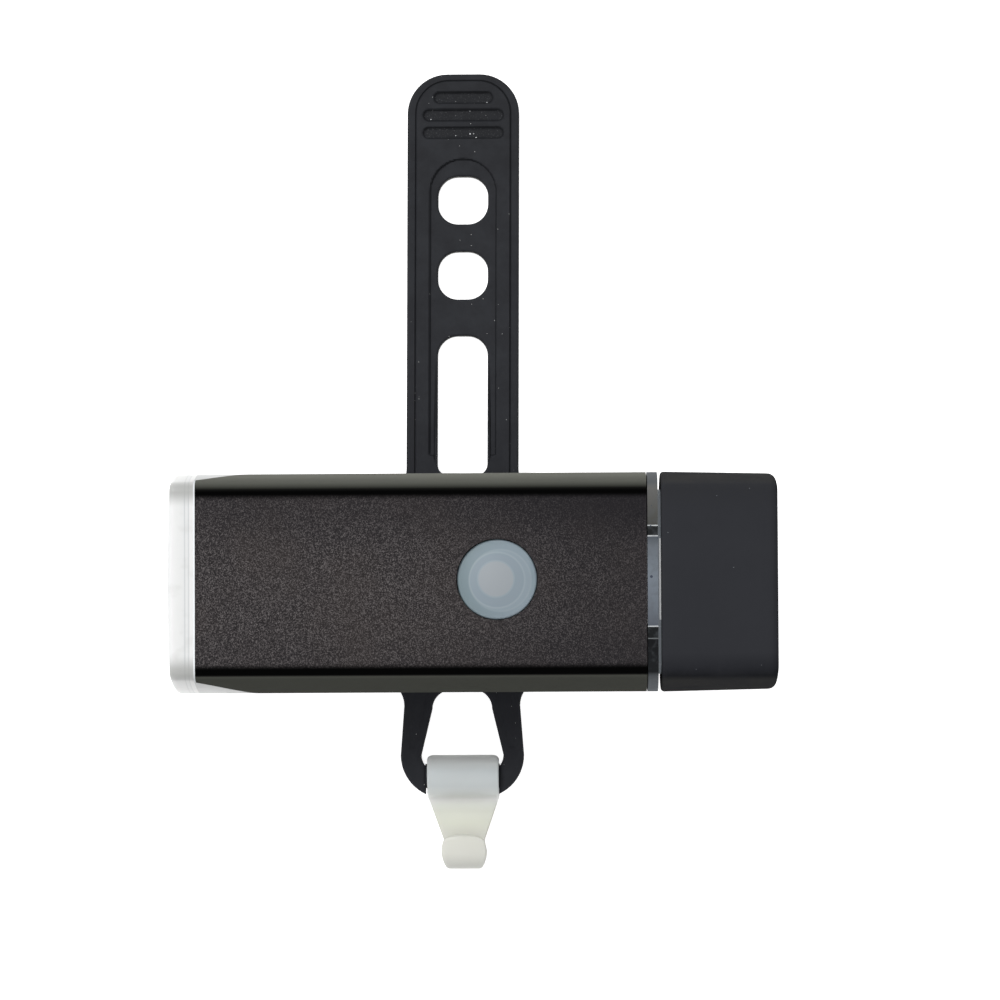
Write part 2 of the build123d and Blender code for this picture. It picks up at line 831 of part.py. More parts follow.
def leg_strip():
    """The sunk strip along the right leg, between its two edges."""
    inset = leg_strip_inset
    top = -leg_strip_start
    bottom = -leg_strip_end
    slope_in = (opening_half_width - opening_root_half_width) / (loop_bar_inner - opening_top)
    slope_out = (loop_half_width - loop_root_half_width) / (loop_end - loop_corner - pad_half_width)

    def inner_x(y):
        return opening_root_half_width + slope_in * (-opening_top - y) + inset

    def outer_x(y):
        return loop_root_half_width + slope_out * (-pad_half_width - y) - inset

    points = [(inner_x(top), top), (outer_x(top), top), (outer_x(bottom), bottom), (inner_x(bottom), bottom)]
    face = make_face(Polyline(*points, close=True))
    return fillet(face.vertices().group_by(Axis.Y)[0], leg_strip_corner)


def hole_faces():
    """The two squarish adjusting holes and the long slot beside the pad, in plan."""
    faces = []
    for index in range(hole_count):
        hole = Rectangle(hole_width, hole_height)
        faces.append(Pos(0, hole_near + index * hole_pitch) * fillet(hole.vertices(), hole_corner))
    slot = Pos(0, (slot_far + slot_near) / 2) * Rectangle(hole_width, slot_far - slot_near)
    slot = fillet(slot.vertices().group_by(Axis.Y)[-1], hole_corner)
    faces.append(fillet(slot.vertices().group_by(Axis.Y)[0], slot_near_corner))
    return faces


def panel_face():
    """The sunk central panel of the arm: straight sides under a half-round top."""
    half = panel_width / 2
    shoulder = panel_top - half
    edges = [Line((-half, panel_bottom), (half, panel_bottom)), Line((half, panel_bottom), (half, shoulder)),
             ThreePointArc((half, shoulder), (0, panel_top), (-half, shoulder)),
             Line((-half, shoulder), (-half, panel_bottom))]
    return make_face(edges)


def sunk(face, top, depth):
    """A shallow recess of a plan face, down from a height."""
    return extrude(Plane.XY.offset(top - depth) * face, amount=depth)


def strap_plan():
    """The whole strap in plan: arm, pad and loop, with a flare where the arm and the legs leave the pad."""
    plan = arm_outline() + loop_outline() + Rectangle(2 * pad_half_length, 2 * pad_half_width)
    at_pad = [v for v in plan.vertices() if abs(abs(v.Y) - pad_half_width) < fit / 2]
    plan = fillet([v for v in at_pad if abs(v.X) < pad_half_length - pad_corner], pad_flare)
    return fillet([v for v in plan.vertices() if abs(v.X) > pad_half_length - fit / 2], pad_corner)


def saddle_pad():
    """The thick pad, hollowed below for the handlebar and pocketed above for the ring and the washer."""
    face = Rectangle(2 * pad_half_length, 2 * pad_half_width)
    pad = extrude(Plane.XY * fillet(face.vertices(), pad_corner), amount=pad_top)
    return fillet(pad.faces().sort_by(Axis.Z)[-1].edges(), pad_edge)


def border_face():
    """The low border round the arm's edge, from the pad's flare to the tip."""
    tip = arm_tip - border_tip_width
    start = pad_half_width + pad_flare
    inside = Pos(0, tip / 2) * Rectangle(2 * (arm_half_width - border_width), tip)
    inside = fillet(inside.vertices().group_by(Axis.Y)[-1], border_tip_radius)
    return arm_outline() - inside - Pos(0, start / 2) * Rectangle(4 * arm_half_width, start)


def strap():
    """The silicone strap: arm, saddle pad and loop in one moulding."""
    bottom = strap_mid_z - strap_thickness / 2
    top = strap_mid_z + strap_thickness / 2
    handlebar = Rot(0, 90, 0) * Cylinder(saddle_radius, 4 * pad_half_length)
    body = extrude(Plane.XY.offset(bottom) * strap_plan(), amount=strap_thickness)
    body = body + saddle_pad() - Pos(0, 0, saddle_rise - saddle_radius) * handlebar
    body -= ring_blank()
    body -= rod_z(0, 0, 0, ring_bottom, washer_radius + washer_play)

    body -= sunk(border_face(), top, border_depth)
    body -= sunk(panel_face(), top, panel_depth)
    for index, length in enumerate(grip_lengths):
        grip = Pos(0, grip_near + index * grip_pitch) * SlotOverall(length, grip_height)
        body -= sunk(grip, top, grip_depth)
    for face in hole_faces():
        body -= sunk(face, top, 2 * strap_thickness)
    body -= sunk(loop_opening(), top, 2 * strap_thickness)
    strip = leg_strip()
    for face in (strip, mirror(strip, about=Plane.YZ)):
        body -= sunk(face, top, leg_strip_depth)

    reach = hook_width / 2 + hook_side_gap
    eye_room = block(-reach, reach, -bar_y - 2 * eye_outer, -bar_y + eye_outer + eye_play, -mid_z, mid_z)
    bar = Pos(0, -bar_y, strap_mid_z) * Rot(0, 90, 0) * Cylinder(bar_radius, 2 * (reach + bar_root))
    return body - eye_room + bar


def tab_plan(tip_y):
    """The tab's plan: a flat foot at the fold, bellied sides and a low arc at the tip."""
    shoulder = (tab_shoulder_half_width, tip_y - tab_tip_rise)
    belly = (tab_width / 2, -hook_end + tab_belly)
    foot = (tab_foot_half_width, -hook_end)
    left = [(-x, y) for x, y in (shoulder, belly, foot)]
    edges = [ThreePointArc(left[0], (0, tip_y), shoulder), ThreePointArc(shoulder, belly, foot),
             Line(foot, left[2]), ThreePointArc(left[2], left[1], left[0])]
    face = make_face(edges)
    return fillet(face.vertices().group_by(Axis.Y)[0], tab_foot_radius)


def strap_hook():
    """The hook on the loop's bar: an eye, a tapering plate and a tab folded back over its end."""
    side = Plane(origin=(0, 0, 0), x_dir=(0, 1, 0), z_dir=(1, 0, 0))
    plate_bottom = strap_mid_z - eye_outer
    plate_top = plate_bottom + hook_plate
    fold_outer = hook_plate + hook_gap / 2
    fold_y = -hook_end + fold_outer
    fold_z = plate_bottom + fold_outer
    tip_y = -hook_end + tab_length

    ring = Pos(-bar_y, strap_mid_z) * Circle(eye_outer)
    plate = make_face(Polyline((-bar_y, plate_bottom), (fold_y, plate_bottom), (fold_y, plate_top),
                               (-bar_y, plate_top), close=True))
    crease = (-bar_y - math.sqrt(eye_outer ** 2 - (strap_mid_z - plate_top) ** 2), plate_top, 0)
    shank_profile = ring + plate
    shank_profile = fillet(shank_profile.vertices().sort_by_distance(crease)[0], hook_blend)
    shank_profile -= Pos(-bar_y, strap_mid_z) * Circle(eye_radius)
    neck_half = hook_neck_half_width
    half = hook_width / 2
    eye_to = -bar_y - eye_outer
    eye_from = -bar_y + eye_outer
    waist = (neck_half + hook_waist, (eye_to - hook_neck_y) / 2 + hook_waist_rise)
    right = [Line((0, eye_from), (half, eye_from)), Line((half, eye_from), (half, eye_to)),
             ThreePointArc((half, eye_to), waist, (neck_half, -hook_neck_y)),
             Line((neck_half, -hook_neck_y), (neck_half, fold_y)), Line((neck_half, fold_y), (0, fold_y)),
             Line((0, fold_y), (0, eye_from))]
    plan_half = make_face(right)
    plan = plan_half + mirror(plan_half, about=Plane.YZ)
    plan = fillet(plan.vertices().group_by(Axis.Y)[-1].sort_by(Axis.X)[0], hook_corner)
    plan = fillet(plan.vertices().group_by(Axis.Y)[-1].sort_by(Axis.X)[-1], hook_corner)
    shank = extrude(side * shank_profile, amount=hook_width, both=True)
    shank &= extrude(plan, amount=2 * housing_bottom)

    fold = Pos(fold_y, fold_z) * (Circle(fold_outer) - Circle(fold_outer - hook_plate))
    fold &= Pos(fold_y - fold_outer, fold_z) * Rectangle(2 * fold_outer, 4 * fold_outer)
    tab_top = fold_z + fold_outer
    tab_bottom = tab_top - hook_plate
    lip = make_face(Polyline((fold_y, tab_bottom), (tip_y, tab_bottom), (tip_y, tab_top), (fold_y, tab_top),
                             close=True))
    tab = extrude(side * (fold + lip), amount=tab_width, both=True)
    tab &= extrude(tab_plan(tip_y), amount=2 * housing_bottom)
    return shank + tab


PIECES = (
    housing_sleeve, front_lens, lens_gasket, beam_optic, optic_holder, led_emitter, led_board, led_screws,
    heat_spreader, led_leads, chassis_tray, main_board, board_screws, power_inductor, charge_chip,
    indicator_leds, tact_switch, button_guide, battery_cell, battery_pad, battery_leads, plug_bulkhead,
    end_collar, collar_screws, usb_shell, usb_tongue, usb_contacts, pivot_base, retaining_washer,
    pivot_screw, pivot_nut, button, rear_cap, strap, swivel_ring, strap_hook,
)


def main():
    """Build every piece and write each one to its own file."""
    os.makedirs("parts", exist_ok=True)
    for make_piece in PIECES:
        export_step(make_piece(), f"parts/{make_piece.__name__}.step")
    export_step(seal_ring(seal_proud), "parts/cap_seal.step")


main()
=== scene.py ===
"""Looks of a front bike light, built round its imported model: sleeve, lens, button, cap, strap and hook."""
import json
import logging
import math
from collections.abc import Callable
from dataclasses import dataclass
from enum import Enum

import bmesh
import bpy
import numpy as np
from mathutils import Matrix, Vector
from mathutils.geometry import delaunay_2d_cdt


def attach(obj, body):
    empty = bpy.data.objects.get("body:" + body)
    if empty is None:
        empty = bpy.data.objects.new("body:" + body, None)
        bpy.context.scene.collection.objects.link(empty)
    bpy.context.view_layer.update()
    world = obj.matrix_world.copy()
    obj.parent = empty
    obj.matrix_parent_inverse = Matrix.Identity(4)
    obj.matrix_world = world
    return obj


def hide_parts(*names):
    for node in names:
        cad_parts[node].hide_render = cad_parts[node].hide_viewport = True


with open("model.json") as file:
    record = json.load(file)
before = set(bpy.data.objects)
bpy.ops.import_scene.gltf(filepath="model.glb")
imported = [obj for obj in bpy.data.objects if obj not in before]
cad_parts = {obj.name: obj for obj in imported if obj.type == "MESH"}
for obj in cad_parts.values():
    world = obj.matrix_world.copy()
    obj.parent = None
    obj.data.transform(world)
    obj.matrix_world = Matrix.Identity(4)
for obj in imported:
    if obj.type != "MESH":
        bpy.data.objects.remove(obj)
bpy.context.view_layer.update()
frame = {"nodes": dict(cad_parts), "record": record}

log = logging.getLogger("bike_light")

# Metres in a millimetre; the lengths below are in millimetres and the meshes in metres.
MM = 0.001
# Faces that meet at less than this angle are shaded smoothly.
SMOOTH_ANGLE = math.radians(32)
# Points nearer than this, in metres, become one.
WELD = 1e-7
# The noise values between which a finish goes from its tone to its fleck.
NOISE_SPAN = (0.3, 0.7)
# How far a moulding's outlines are drawn in along its rounded edge, as shares of the edge's radius.
EDGE_STEPS = (0.0, 0.08, 0.3, 0.62, 1.0)
# The radius of a corner that is as good as sharp.
SHARP = 1e-3
# How many points are measured at a time, to spare memory.
BLOCK = 4000
# An 8-bit screen colour, and a row of places with their colours.
Colour = tuple[float, float, float]
Bands = tuple[tuple[float, Colour], ...]


class Body(Enum):
    """The moving bodies that the new pieces ride on."""

    BUTTON = "button"
    CAP = "cap"
    STRAP = "strap_mount"
    HOOK = "hook"


class Slot(Enum):
    """The record's material slots."""

    SLEEVE = "anodised_sleeve"
    CLEAR = "clear_plastic"
    OPTIC = "optic_acrylic"
    SEAL = "seal_rubber"
    MOULDING = "black_moulding"
    ALUMINIUM = "bare_aluminium"
    EMITTER = "emitter_yellow"
    STEEL = "zinc_steel"
    LEADS = "red_insulation"
    BOARD = "solder_mask"
    CHIP = "chip_black"
    FOIL = "cell_foil"
    FOAM = "grey_foam"
    SHELL = "plug_nickel"
    TONGUE = "plug_tongue"
    CONTACTS = "contact_gold"
    BUTTON = "button_silicone"
    CAP = "soft_touch_black"
    STRAP = "strap_silicone"
    HOOK = "hook_milky"


Materials = dict[Slot, bpy.types.Material]


def linear(red: int, green: int, blue: int) -> tuple[float, float, float, float]:
    """Turn an 8-bit screen colour into the linear colour that a shader takes.

    Each channel is divided by 255, then ((c + 0.055) / 1.055) to the power 2.4, or c / 12.92 when dark.

    Args:
        red: Red from 0 to 255.
        green: Green from 0 to 255.
        blue: Blue from 0 to 255.

    Returns:
        The linear colour with an alpha of 1.
    """
    channels = np.array([red, green, blue]) / 255
    bright = ((channels + 0.055) / 1.055) ** 2.4
    mixed = np.where(channels > 0.04045, bright, channels / 12.92)
    return (*mixed.tolist(), 1.0)


def set_stops(ramp: bpy.types.ColorRamp, stops: list[tuple[float, tuple[float, ...]]]) -> None:
    """Give a new colour ramp its stops, each a place from 0 to 1 and a linear colour.

    Args:
        ramp: The ramp, with the two stops that it starts with.
        stops: The places and colours, in order.
    """
    ramp.elements[0].position, ramp.elements[0].color = stops[0]
    ramp.elements[1].position, ramp.elements[1].color = stops[-1]
    for position, colour in stops[1:-1]:
        ramp.elements.new(position).color = colour


class Graph:
    """A material's node tree, with the few steps that every finish is made of."""

    def __init__(self, name: str) -> None:
        """Start an empty material with a principled shader and its output.

        Args:
            name: The material's name.
        """
        self.material = bpy.data.materials.new(name)
        self.material.use_nodes = True
        self.tree = self.material.node_tree
        self.tree.nodes.clear()
        self.output = self.node("ShaderNodeOutputMaterial")
        self.shader = self.node("ShaderNodeBsdfPrincipled")
        self.place = self.node("ShaderNodeTexCoord").outputs["Object"]
        self.join(self.shader.outputs["BSDF"], self.output.inputs["Surface"])

    def node(self, kind: str, **settings: object) -> bpy.types.Node:
        """Add a node and set its properties by name.

        Args:
            kind: Blender's name for the kind of node.
            **settings: The node's properties and their values.

        Returns:
            The new node.
        """
        made = self.tree.nodes.new(kind)
        for key, value in settings.items():
            setattr(made, key, value)
        return made

    def join(self, source: object, target: bpy.types.NodeSocket) -> None:
        """Link a socket to an input, or set the input when the source is a plain value.

        Args:
            source: A socket or a plain value.
            target: The input that takes it.
        """
        if isinstance(source, bpy.types.NodeSocket):
            self.tree.links.new(source, target)
        else:
            target.default_value = source

    def math(self, operation: str, first: object, second: object = 0.0) -> bpy.types.NodeSocket:
        """Work out one operation on two values or sockets.

        Args:
            operation: Blender's name for the operation.
            first: The first value or socket.
            second: The second value or socket.

        Returns:
            The socket that carries the result.
        """
        made = self.node("ShaderNodeMath", operation=operation)
        self.join(first, made.inputs[0])
        self.join(second, made.inputs[1])
        return made.outputs[0]

    def noise(self, size_mm: float, detail: float = 2.0, roughness: float = 0.5) -> bpy.types.NodeSocket:
        """Make cloudy noise from 0 to 1 whose clouds are about a size across.

        Args:
            size_mm: How large the clouds are, in millimetres.
            detail: How many finer layers are added.
            roughness: How much the finer layers count.

        Returns:
            The socket that carries the noise.
        """
        made = self.node("ShaderNodeTexNoise")
        self.join(self.place, made.inputs["Vector"])
        made.inputs["Scale"].default_value = 1 / (size_mm * MM)
        made.inputs["Detail"].default_value = detail
        made.inputs["Roughness"].default_value = roughness
        return made.outputs["Fac"]

    def cells(self, cell_mm: float) -> tuple[bpy.types.NodeSocket, ...]:
        """Fill space with cells: the distance to a cell's point, and two random numbers of its own.

        Args:
            cell_mm: How large a cell is, in millimetres.

        Returns:
            The sockets that carry the distance and the two numbers.
        """
        made = self.node("ShaderNodeTexVoronoi")
        self.join(self.place, made.inputs["Vector"])
        made.inputs["Scale"].default_value = 1 / (cell_mm * MM)
        parts = self.node("ShaderNodeSeparateColor")
        self.join(made.outputs["Color"], parts.inputs[0])
        return made.outputs["Distance"], parts.outputs[0], parts.outputs[1]

    def specks(self, cell_mm: float, radius_share: float, rarity: float) -> bpy.types.NodeSocket:
        """Scatter small dots: 1 inside a dot and 0 elsewhere.

        Cells of one size each hold a point; a dot stands where the distance to that point is under a share of
        the cell and the cell's own random number is over the rarity.

        Args:
            cell_mm: How far apart the candidate dots lie.
            radius_share: The dot's radius as a share of the cell.
            rarity: The share of the cells that stay empty.

        Returns:
            The socket that carries the mask.
        """
        distance, drawn, _ = self.cells(cell_mm)
        near = self.math("LESS_THAN", distance, radius_share)
        return self.times(near, self.math("GREATER_THAN", drawn, rarity))

    def axis(self, name: str) -> bpy.types.NodeSocket:
        """Read one object coordinate, in metres.

        Args:
            name: X, Y or Z.

        Returns:
            The socket that carries the coordinate.
        """
        parts = self.node("ShaderNodeSeparateXYZ")
        self.join(self.place, parts.inputs[0])
        return parts.outputs[name]

    def rise(self, value: object, start: float, end: float) -> bpy.types.NodeSocket:
        """Turn a value into 0 before a start, 1 after an end, and a smooth slope between.

        Args:
            value: The value or socket that rises.
            start: Where the slope starts.
            end: Where it ends.

        Returns:
            The socket that carries the share.
        """
        made = self.node("ShaderNodeMapRange", interpolation_type="SMOOTHSTEP")
        self.join(value, made.inputs["Value"])
        made.inputs["From Min"].default_value = start
        made.inputs["From Max"].default_value = end
        return made.outputs["Result"]

    def rise_mm(self, place: object, start: float, end: float) -> bpy.types.NodeSocket:
        """Rise in the same way over a span given in millimetres."""
        return self.rise(place, start * MM, end * MM)

    def spread(self, value: object, low: float, high: float) -> bpy.types.NodeSocket:
        """Stretch a value from 0..1 to a range.

        Args:
            value: The share to stretch.
            low: What 0 becomes.
            high: What 1 becomes.

        Returns:
            The socket that carries the stretched value.
        """
        made = self.node("ShaderNodeMapRange")
        self.join(value, made.inputs["Value"])
        made.inputs["To Min"].default_value = low
        made.inputs["To Max"].default_value = high
        return made.outputs["Result"]

    def mix(self, share: object, first: object, second: object) -> bpy.types.NodeSocket:
        """Mix two colours by a share.

        Args:
            share: The second colour's share, from 0 to 1.
            first: The first colour.
            second: The second colour.

        Returns:
            The socket that carries the mixed colour.
        """
        made = self.node("ShaderNodeMix", data_type="RGBA")
        self.join(share, made.inputs["Factor"])
        self.join(first, made.inputs["A"])
        self.join(second, made.inputs["B"])
        return made.outputs["Result"]

    def times(self, first: object, second: object) -> bpy.types.NodeSocket:
        """Multiply two values or sockets."""
        return self.math("MULTIPLY", first, second)

    def without(self, share: object) -> bpy.types.NodeSocket:
        """Turn a share round: 1 less the share."""
        return self.math("SUBTRACT", 1.0, share)

    def ramp(self, value: object, stops: Bands) -> bpy.types.NodeSocket:
        """Colour a value by a row of stops, each a place from 0 to 1 and an 8-bit colour.

        Args:
            value: The value to colour.
            stops: The stops, in order.

        Returns:
            The socket that carries the colour.
        """
        made = self.node("ShaderNodeValToRGB")
        self.join(value, made.inputs["Fac"])
        set_stops(made.color_ramp, [(position, linear(*colour)) for position, colour in stops])
        return made.outputs["Color"]

    def relief(self, height: bpy.types.NodeSocket, depth_mm: float) -> None:
        """Let a height from 0 to 1 stand as relief of a depth on the shader's normal.

        Args:
            height: The socket that carries the height.
            depth_mm: The relief's depth in millimetres.
        """
        made = self.node("ShaderNodeBump")
        made.inputs["Strength"].default_value = 1.0
        made.inputs["Distance"].default_value = depth_mm * MM
        self.join(height, made.inputs["Height"])
        self.join(made.outputs["Normal"], self.shader.inputs["Normal"])

    def bands(self, place: bpy.types.NodeSocket, stops: Bands) -> bpy.types.NodeSocket:
        """Colour a place in metres by a row of stops, each a place in millimetres and an 8-bit colour.

        Args:
            place: The socket that carries the place.
            stops: The stops, in order.

        Returns:
            The socket that carries the colour.
        """
        first, last = stops[0][0], stops[-1][0]
        share = self.node("ShaderNodeMapRange")
        self.join(place, share.inputs["Value"])
        share.inputs["From Min"].default_value = first * MM
        share.inputs["From Max"].default_value = last * MM
        scaled = tuple(((stop - first) / (last - first), colour) for stop, colour in stops)
        return self.ramp(share.outputs["Result"], scaled)

    def away(self, x_mm: float, y_mm: float) -> bpy.types.NodeSocket:
        """Measure the distance from an upright axis: the root of the squares' sum.

        Args:
            x_mm: The axis's x in millimetres.
            y_mm: The axis's y in millimetres.

        Returns:
            The socket that carries the distance in metres.
        """
        aside = self.math("SUBTRACT", self.axis("X"), x_mm * MM)
        along = self.math("SUBTRACT", self.axis("Y"), y_mm * MM)
        squares = self.math("ADD", self.times(aside, aside), self.times(along, along))
        return self.math("SQRT", squares)


@dataclass(frozen=True)
class Finish:
    """A surface of two close tones mixed by fine noise, which also moves its roughness and relief.

    Sizes are in millimetres and colours are 8-bit.
    """

    name: str
    tone: Colour
    fleck: Colour
    grain: float = 0.4
    metallic: float = 0.0
    roughness: tuple[float, float] = (0.45, 0.55)
    relief: float = 0.01
    detail: float = 3.0
    specular: float = 0.5
    coat: float = 0.0
    transmission: float = 0.0
    ior: float = 1.5

    def colour(self, graph: Graph) -> bpy.types.NodeSocket:
        """Mix the two tones by noise of the grain's size."""
        share = graph.rise(graph.noise(self.grain, self.detail), *NOISE_SPAN)
        return graph.mix(share, linear(*self.tone), linear(*self.fleck))

    def build(self) -> bpy.types.Material:
        """Make the material.

        Returns:
            The finished material.
        """
        graph = Graph(self.name)
        graph.join(self.colour(graph), graph.shader.inputs["Base Color"])
        self.shine(graph)
        return graph.material

    def shine(self, graph: Graph) -> None:
        """Set gloss and relief, which share the grain.

        Args:
            graph: The node tree that the finish is made in.
        """
        noise = graph.noise(self.grain, self.detail)
        inputs = graph.shader.inputs
        graph.join(graph.spread(noise, *self.roughness), inputs["Roughness"])
        inputs["Metallic"].default_value = self.metallic
        inputs["Specular IOR Level"].default_value = self.specular
        inputs["Coat Weight"].default_value = self.coat
        inputs["Transmission Weight"].default_value = self.transmission
        inputs["IOR"].default_value = self.ior
        if self.relief:
            graph.relief(noise, self.relief)


@dataclass(frozen=True)
class AnodisedFinish(Finish):
    """Dark satin anodising: a blasted flat with fine grain; off the flat, the shoulders and the smooth olive
    sides carry painted reflections.

    The bands lie along Y, in millimetres from the middle, and count past the flats. On the +Y side the grain
    ends sooner, by the upper reach. The grain darkens beyond a place along X, above the middle, and near both
    edges, by the three dim shares.
    """

    spark: Colour = (104, 100, 100)
    warm: Colour = (66, 60, 57)
    dim: Colour = (34, 33, 36)
    flat_half_width: float = 12.05
    blend_width: float = 0.9
    upper_reach: float = 0.4
    bands: Bands = ()
    rim_end: float = -35.28
    rim_tone: Colour = (226, 229, 231)
    grain_shares: tuple[float, float, float] = (0.45, 0.25, 0.3)
    coarse_scale: float = 2.4
    cell_scale: float = 1.2
    grain_stops: tuple[float, float, float] = (0.3, 0.52, 0.7)
    cloud_size: float = 9.0
    cloud_span: tuple[float, float] = (0.35, 0.75)
    cloud_share: float = 0.25
    dim_shares: tuple[float, float, float] = (0.44, 0.3, 0.12)
    dim_beyond: tuple[float, float] = (-12.0, 26.0)
    dim_above: tuple[float, float] = (1.0, 10.5)
    dim_edges: tuple[float, float] = (5.0, 11.0)

    def speckle(self, graph: Graph) -> bpy.types.NodeSocket:
        """Add fine noise, coarser noise and one random number for each cell, by the grain's shares.

        Args:
            graph: The node tree that the finish is made in.

        Returns:
            The socket that carries the speckle.
        """
        fine, coarse, cells = self.grain_shares
        clouded = graph.math("ADD", graph.times(graph.noise(self.grain, 1.0, 0.6), fine),
                             graph.times(graph.noise(self.grain * self.coarse_scale), coarse))
        _, _, drawn = graph.cells(self.grain * self.cell_scale)
        return graph.math("ADD", clouded, graph.times(drawn, cells))

    def shade(self, graph: Graph, across: object, out: object) -> bpy.types.NodeSocket:
        """Work out how far the flat darkens: towards the cap, above the middle and near both edges.

        Args:
            graph: The node tree that the finish is made in.
            across: The place along Y, in metres.
            out: How far out from the middle a place lies, in metres.

        Returns:
            The socket that carries the share.
        """
        beyond, above, edges = self.dim_shares
        sides = graph.math("ADD", graph.times(graph.rise_mm(across, *self.dim_above), above),
                           graph.times(graph.rise_mm(out, *self.dim_edges), edges))
        return graph.math("ADD", graph.times(graph.rise_mm(graph.axis("X"), *self.dim_beyond), beyond), sides)

    def build(self) -> bpy.types.Material:
        """Make the material: grain on the flats, then the bands of painted reflection by how far across they
        lie.

        Returns:
            The finished material.
        """
        graph = Graph(self.name)
        across = graph.axis("Y")
        upwards = graph.math("ADD", across, self.upper_reach * MM)
        out = graph.math("MAXIMUM", upwards, graph.times(across, -1.0))
        off_flat = graph.rise_mm(out, self.flat_half_width - self.blend_width, self.flat_half_width)
        speckle = self.speckle(graph)
        grain = graph.ramp(speckle, tuple(zip(self.grain_stops, (self.tone, self.fleck, self.spark))))
        cloud = graph.times(graph.rise(graph.noise(self.cloud_size), *self.cloud_span), self.cloud_share)
        grain = graph.mix(cloud, grain, linear(*self.warm))
        grain = graph.mix(self.shade(graph, across, out), grain, linear(*self.dim))
        # Off the flat, the bands' painted reflections take the place of the grain.
        colour = graph.mix(off_flat, grain, graph.bands(across, self.bands))
        rim = graph.math("LESS_THAN", graph.axis("X"), self.rim_end * MM)
        colour = graph.mix(rim, colour, linear(*self.rim_tone))
        inputs = graph.shader.inputs
        graph.join(colour, inputs["Base Color"])
        on_flat = graph.without(off_flat)
        graph.join(graph.times(on_flat, self.metallic), inputs["Metallic"])
        graph.join(graph.spread(on_flat, *self.roughness), inputs["Roughness"])
        inputs["Specular IOR Level"].default_value = self.specular
        graph.relief(graph.times(speckle, on_flat), self.relief)
        return graph.material


@dataclass(frozen=True)
class DustyFinish(Finish):
    """A soft dark surface with faint clouds and a few pale specks of dust.

    The bands, where there are any, tone it along Y, in millimetres from the middle, with painted light, and
    on the cap painted shade too.
    """

    cloud: float = 6.0
    cloud_span: tuple[float, float] = (0.3, 0.75)
    cloud_share: float = 0.5
    dust: float = 0.97
    dust_cell: float = 2.2
    dust_radii: tuple[float, float] = (0.05, 0.1)
    dust_tone: Colour = (190, 190, 188)
    dust_share: float = 0.8
    bands: Bands = ()

    def colour(self, graph: Graph) -> bpy.types.NodeSocket:
        """Mix the two tones, or the bands, by clouds and scatter the dust.

        Args:
            graph: The node tree that the finish is made in.

        Returns:
            The socket that carries the colour.
        """
        tone = graph.bands(graph.axis("Y"), self.bands) if self.bands else linear(*self.tone)
        clouds = graph.rise(graph.noise(self.cloud, 4.0, 0.65), *self.cloud_span)
        base = graph.mix(graph.times(clouds, self.cloud_share), tone, linear(*self.fleck))
        large, small = self.dust_radii
        specks = graph.math("MAXIMUM", graph.specks(self.dust_cell, large, self.dust),
                            graph.specks(self.dust_cell / 3, small, self.dust))
        return graph.mix(graph.times(specks, self.dust_share), base, linear(*self.dust_tone))


@dataclass(frozen=True)
class StrapFinish(DustyFinish):
    """Black silicone whose walls show a pale parting line, with painted shade in the creases at the steps'
    walls, and darker rough floors in the grips with painted sparkle and painted glints.

    The heights are in millimetres, and so is the place along Y from which the grips lie. A glint speck's
    three numbers are its cell's size, its radius as a share of the cell, and its rarity.
    """

    seam_height: float = 3.15
    seam_half_width: float = 0.12
    seam_tone: Colour = (150, 141, 124)
    seam_share: float = 0.5
    grips_from: float = 62.4
    grip_tone: Colour = (30, 31, 33)
    grip_share: float = 0.4
    # Painted sparkle on the grips' floors, then painted glints as small bright specks.
    sparkle_size: float = 0.16
    sparkle_span: tuple[float, float] = (0.6, 0.76)
    sparkle_tone: Colour = (120, 122, 124)
    sparkle_share: float = 0.32
    glint_specks: tuple[tuple[float, float, float], ...] = ((0.8, 0.13, 0.8), (0.5, 0.14, 0.86))
    glint_speck_tone: Colour = (196, 198, 200)
    floor_height: float = 3.86
    # Painted shade: the heights of the steps' walls, where the creases lie, are painted dark.
    crease_shade_heights: tuple[float, float] = (3.85, 4.03)
    crease_shade_blend: tuple[float, float] = (0.03, 0.04)
    crease_shade_tone: Colour = (16, 17, 19)
    crease_shade_share: float = 0.5

    def colour(self, graph: Graph) -> bpy.types.NodeSocket:
        """Add painted shade in the creases, the parting line, and the grips' darker floors with painted
        sparkle and painted glints, to the dusty tone.

        Args:
            graph: The node tree that the finish is made in.

        Returns:
            The socket that carries the colour.
        """
        base = super().colour(graph)
        height = graph.axis("Z")
        # Painted shade in the creases at the steps' walls.
        low, high = self.crease_shade_heights
        below, above = self.crease_shade_blend
        crease_shade = graph.times(graph.rise_mm(height, low - below, low),
                              graph.without(graph.rise_mm(height, high, high + above)))
        base = graph.mix(graph.times(crease_shade, self.crease_shade_share), base, linear(*self.crease_shade_tone))
        off_seam = graph.math("ABSOLUTE", graph.math("SUBTRACT", height, self.seam_height * MM))
        seam = graph.without(graph.rise_mm(off_seam, self.seam_half_width, 2 * self.seam_half_width))
        base = graph.mix(graph.times(seam, self.seam_share), base, linear(*self.seam_tone))
        beyond = graph.math("GREATER_THAN", graph.axis("Y"), self.grips_from * MM)
        sunk = graph.math("LESS_THAN", height, self.floor_height * MM)
        grips = graph.times(graph.times(beyond, sunk), graph.without(seam))
        base = graph.mix(graph.times(grips, self.grip_share), base, linear(*self.grip_tone))
        # Painted sparkle and painted glints on the grips' floors.
        sparkle = graph.times(graph.rise(graph.noise(self.sparkle_size, 1.0), *self.sparkle_span), grips)
        rough = graph.mix(graph.times(sparkle, self.sparkle_share), base, linear(*self.sparkle_tone))
        large, small = (graph.specks(*glint_speck) for glint_speck in self.glint_specks)
        glint_specks = graph.times(graph.math("MAXIMUM", large, small), grips)
        return graph.mix(glint_specks, rough, linear(*self.glint_speck_tone))


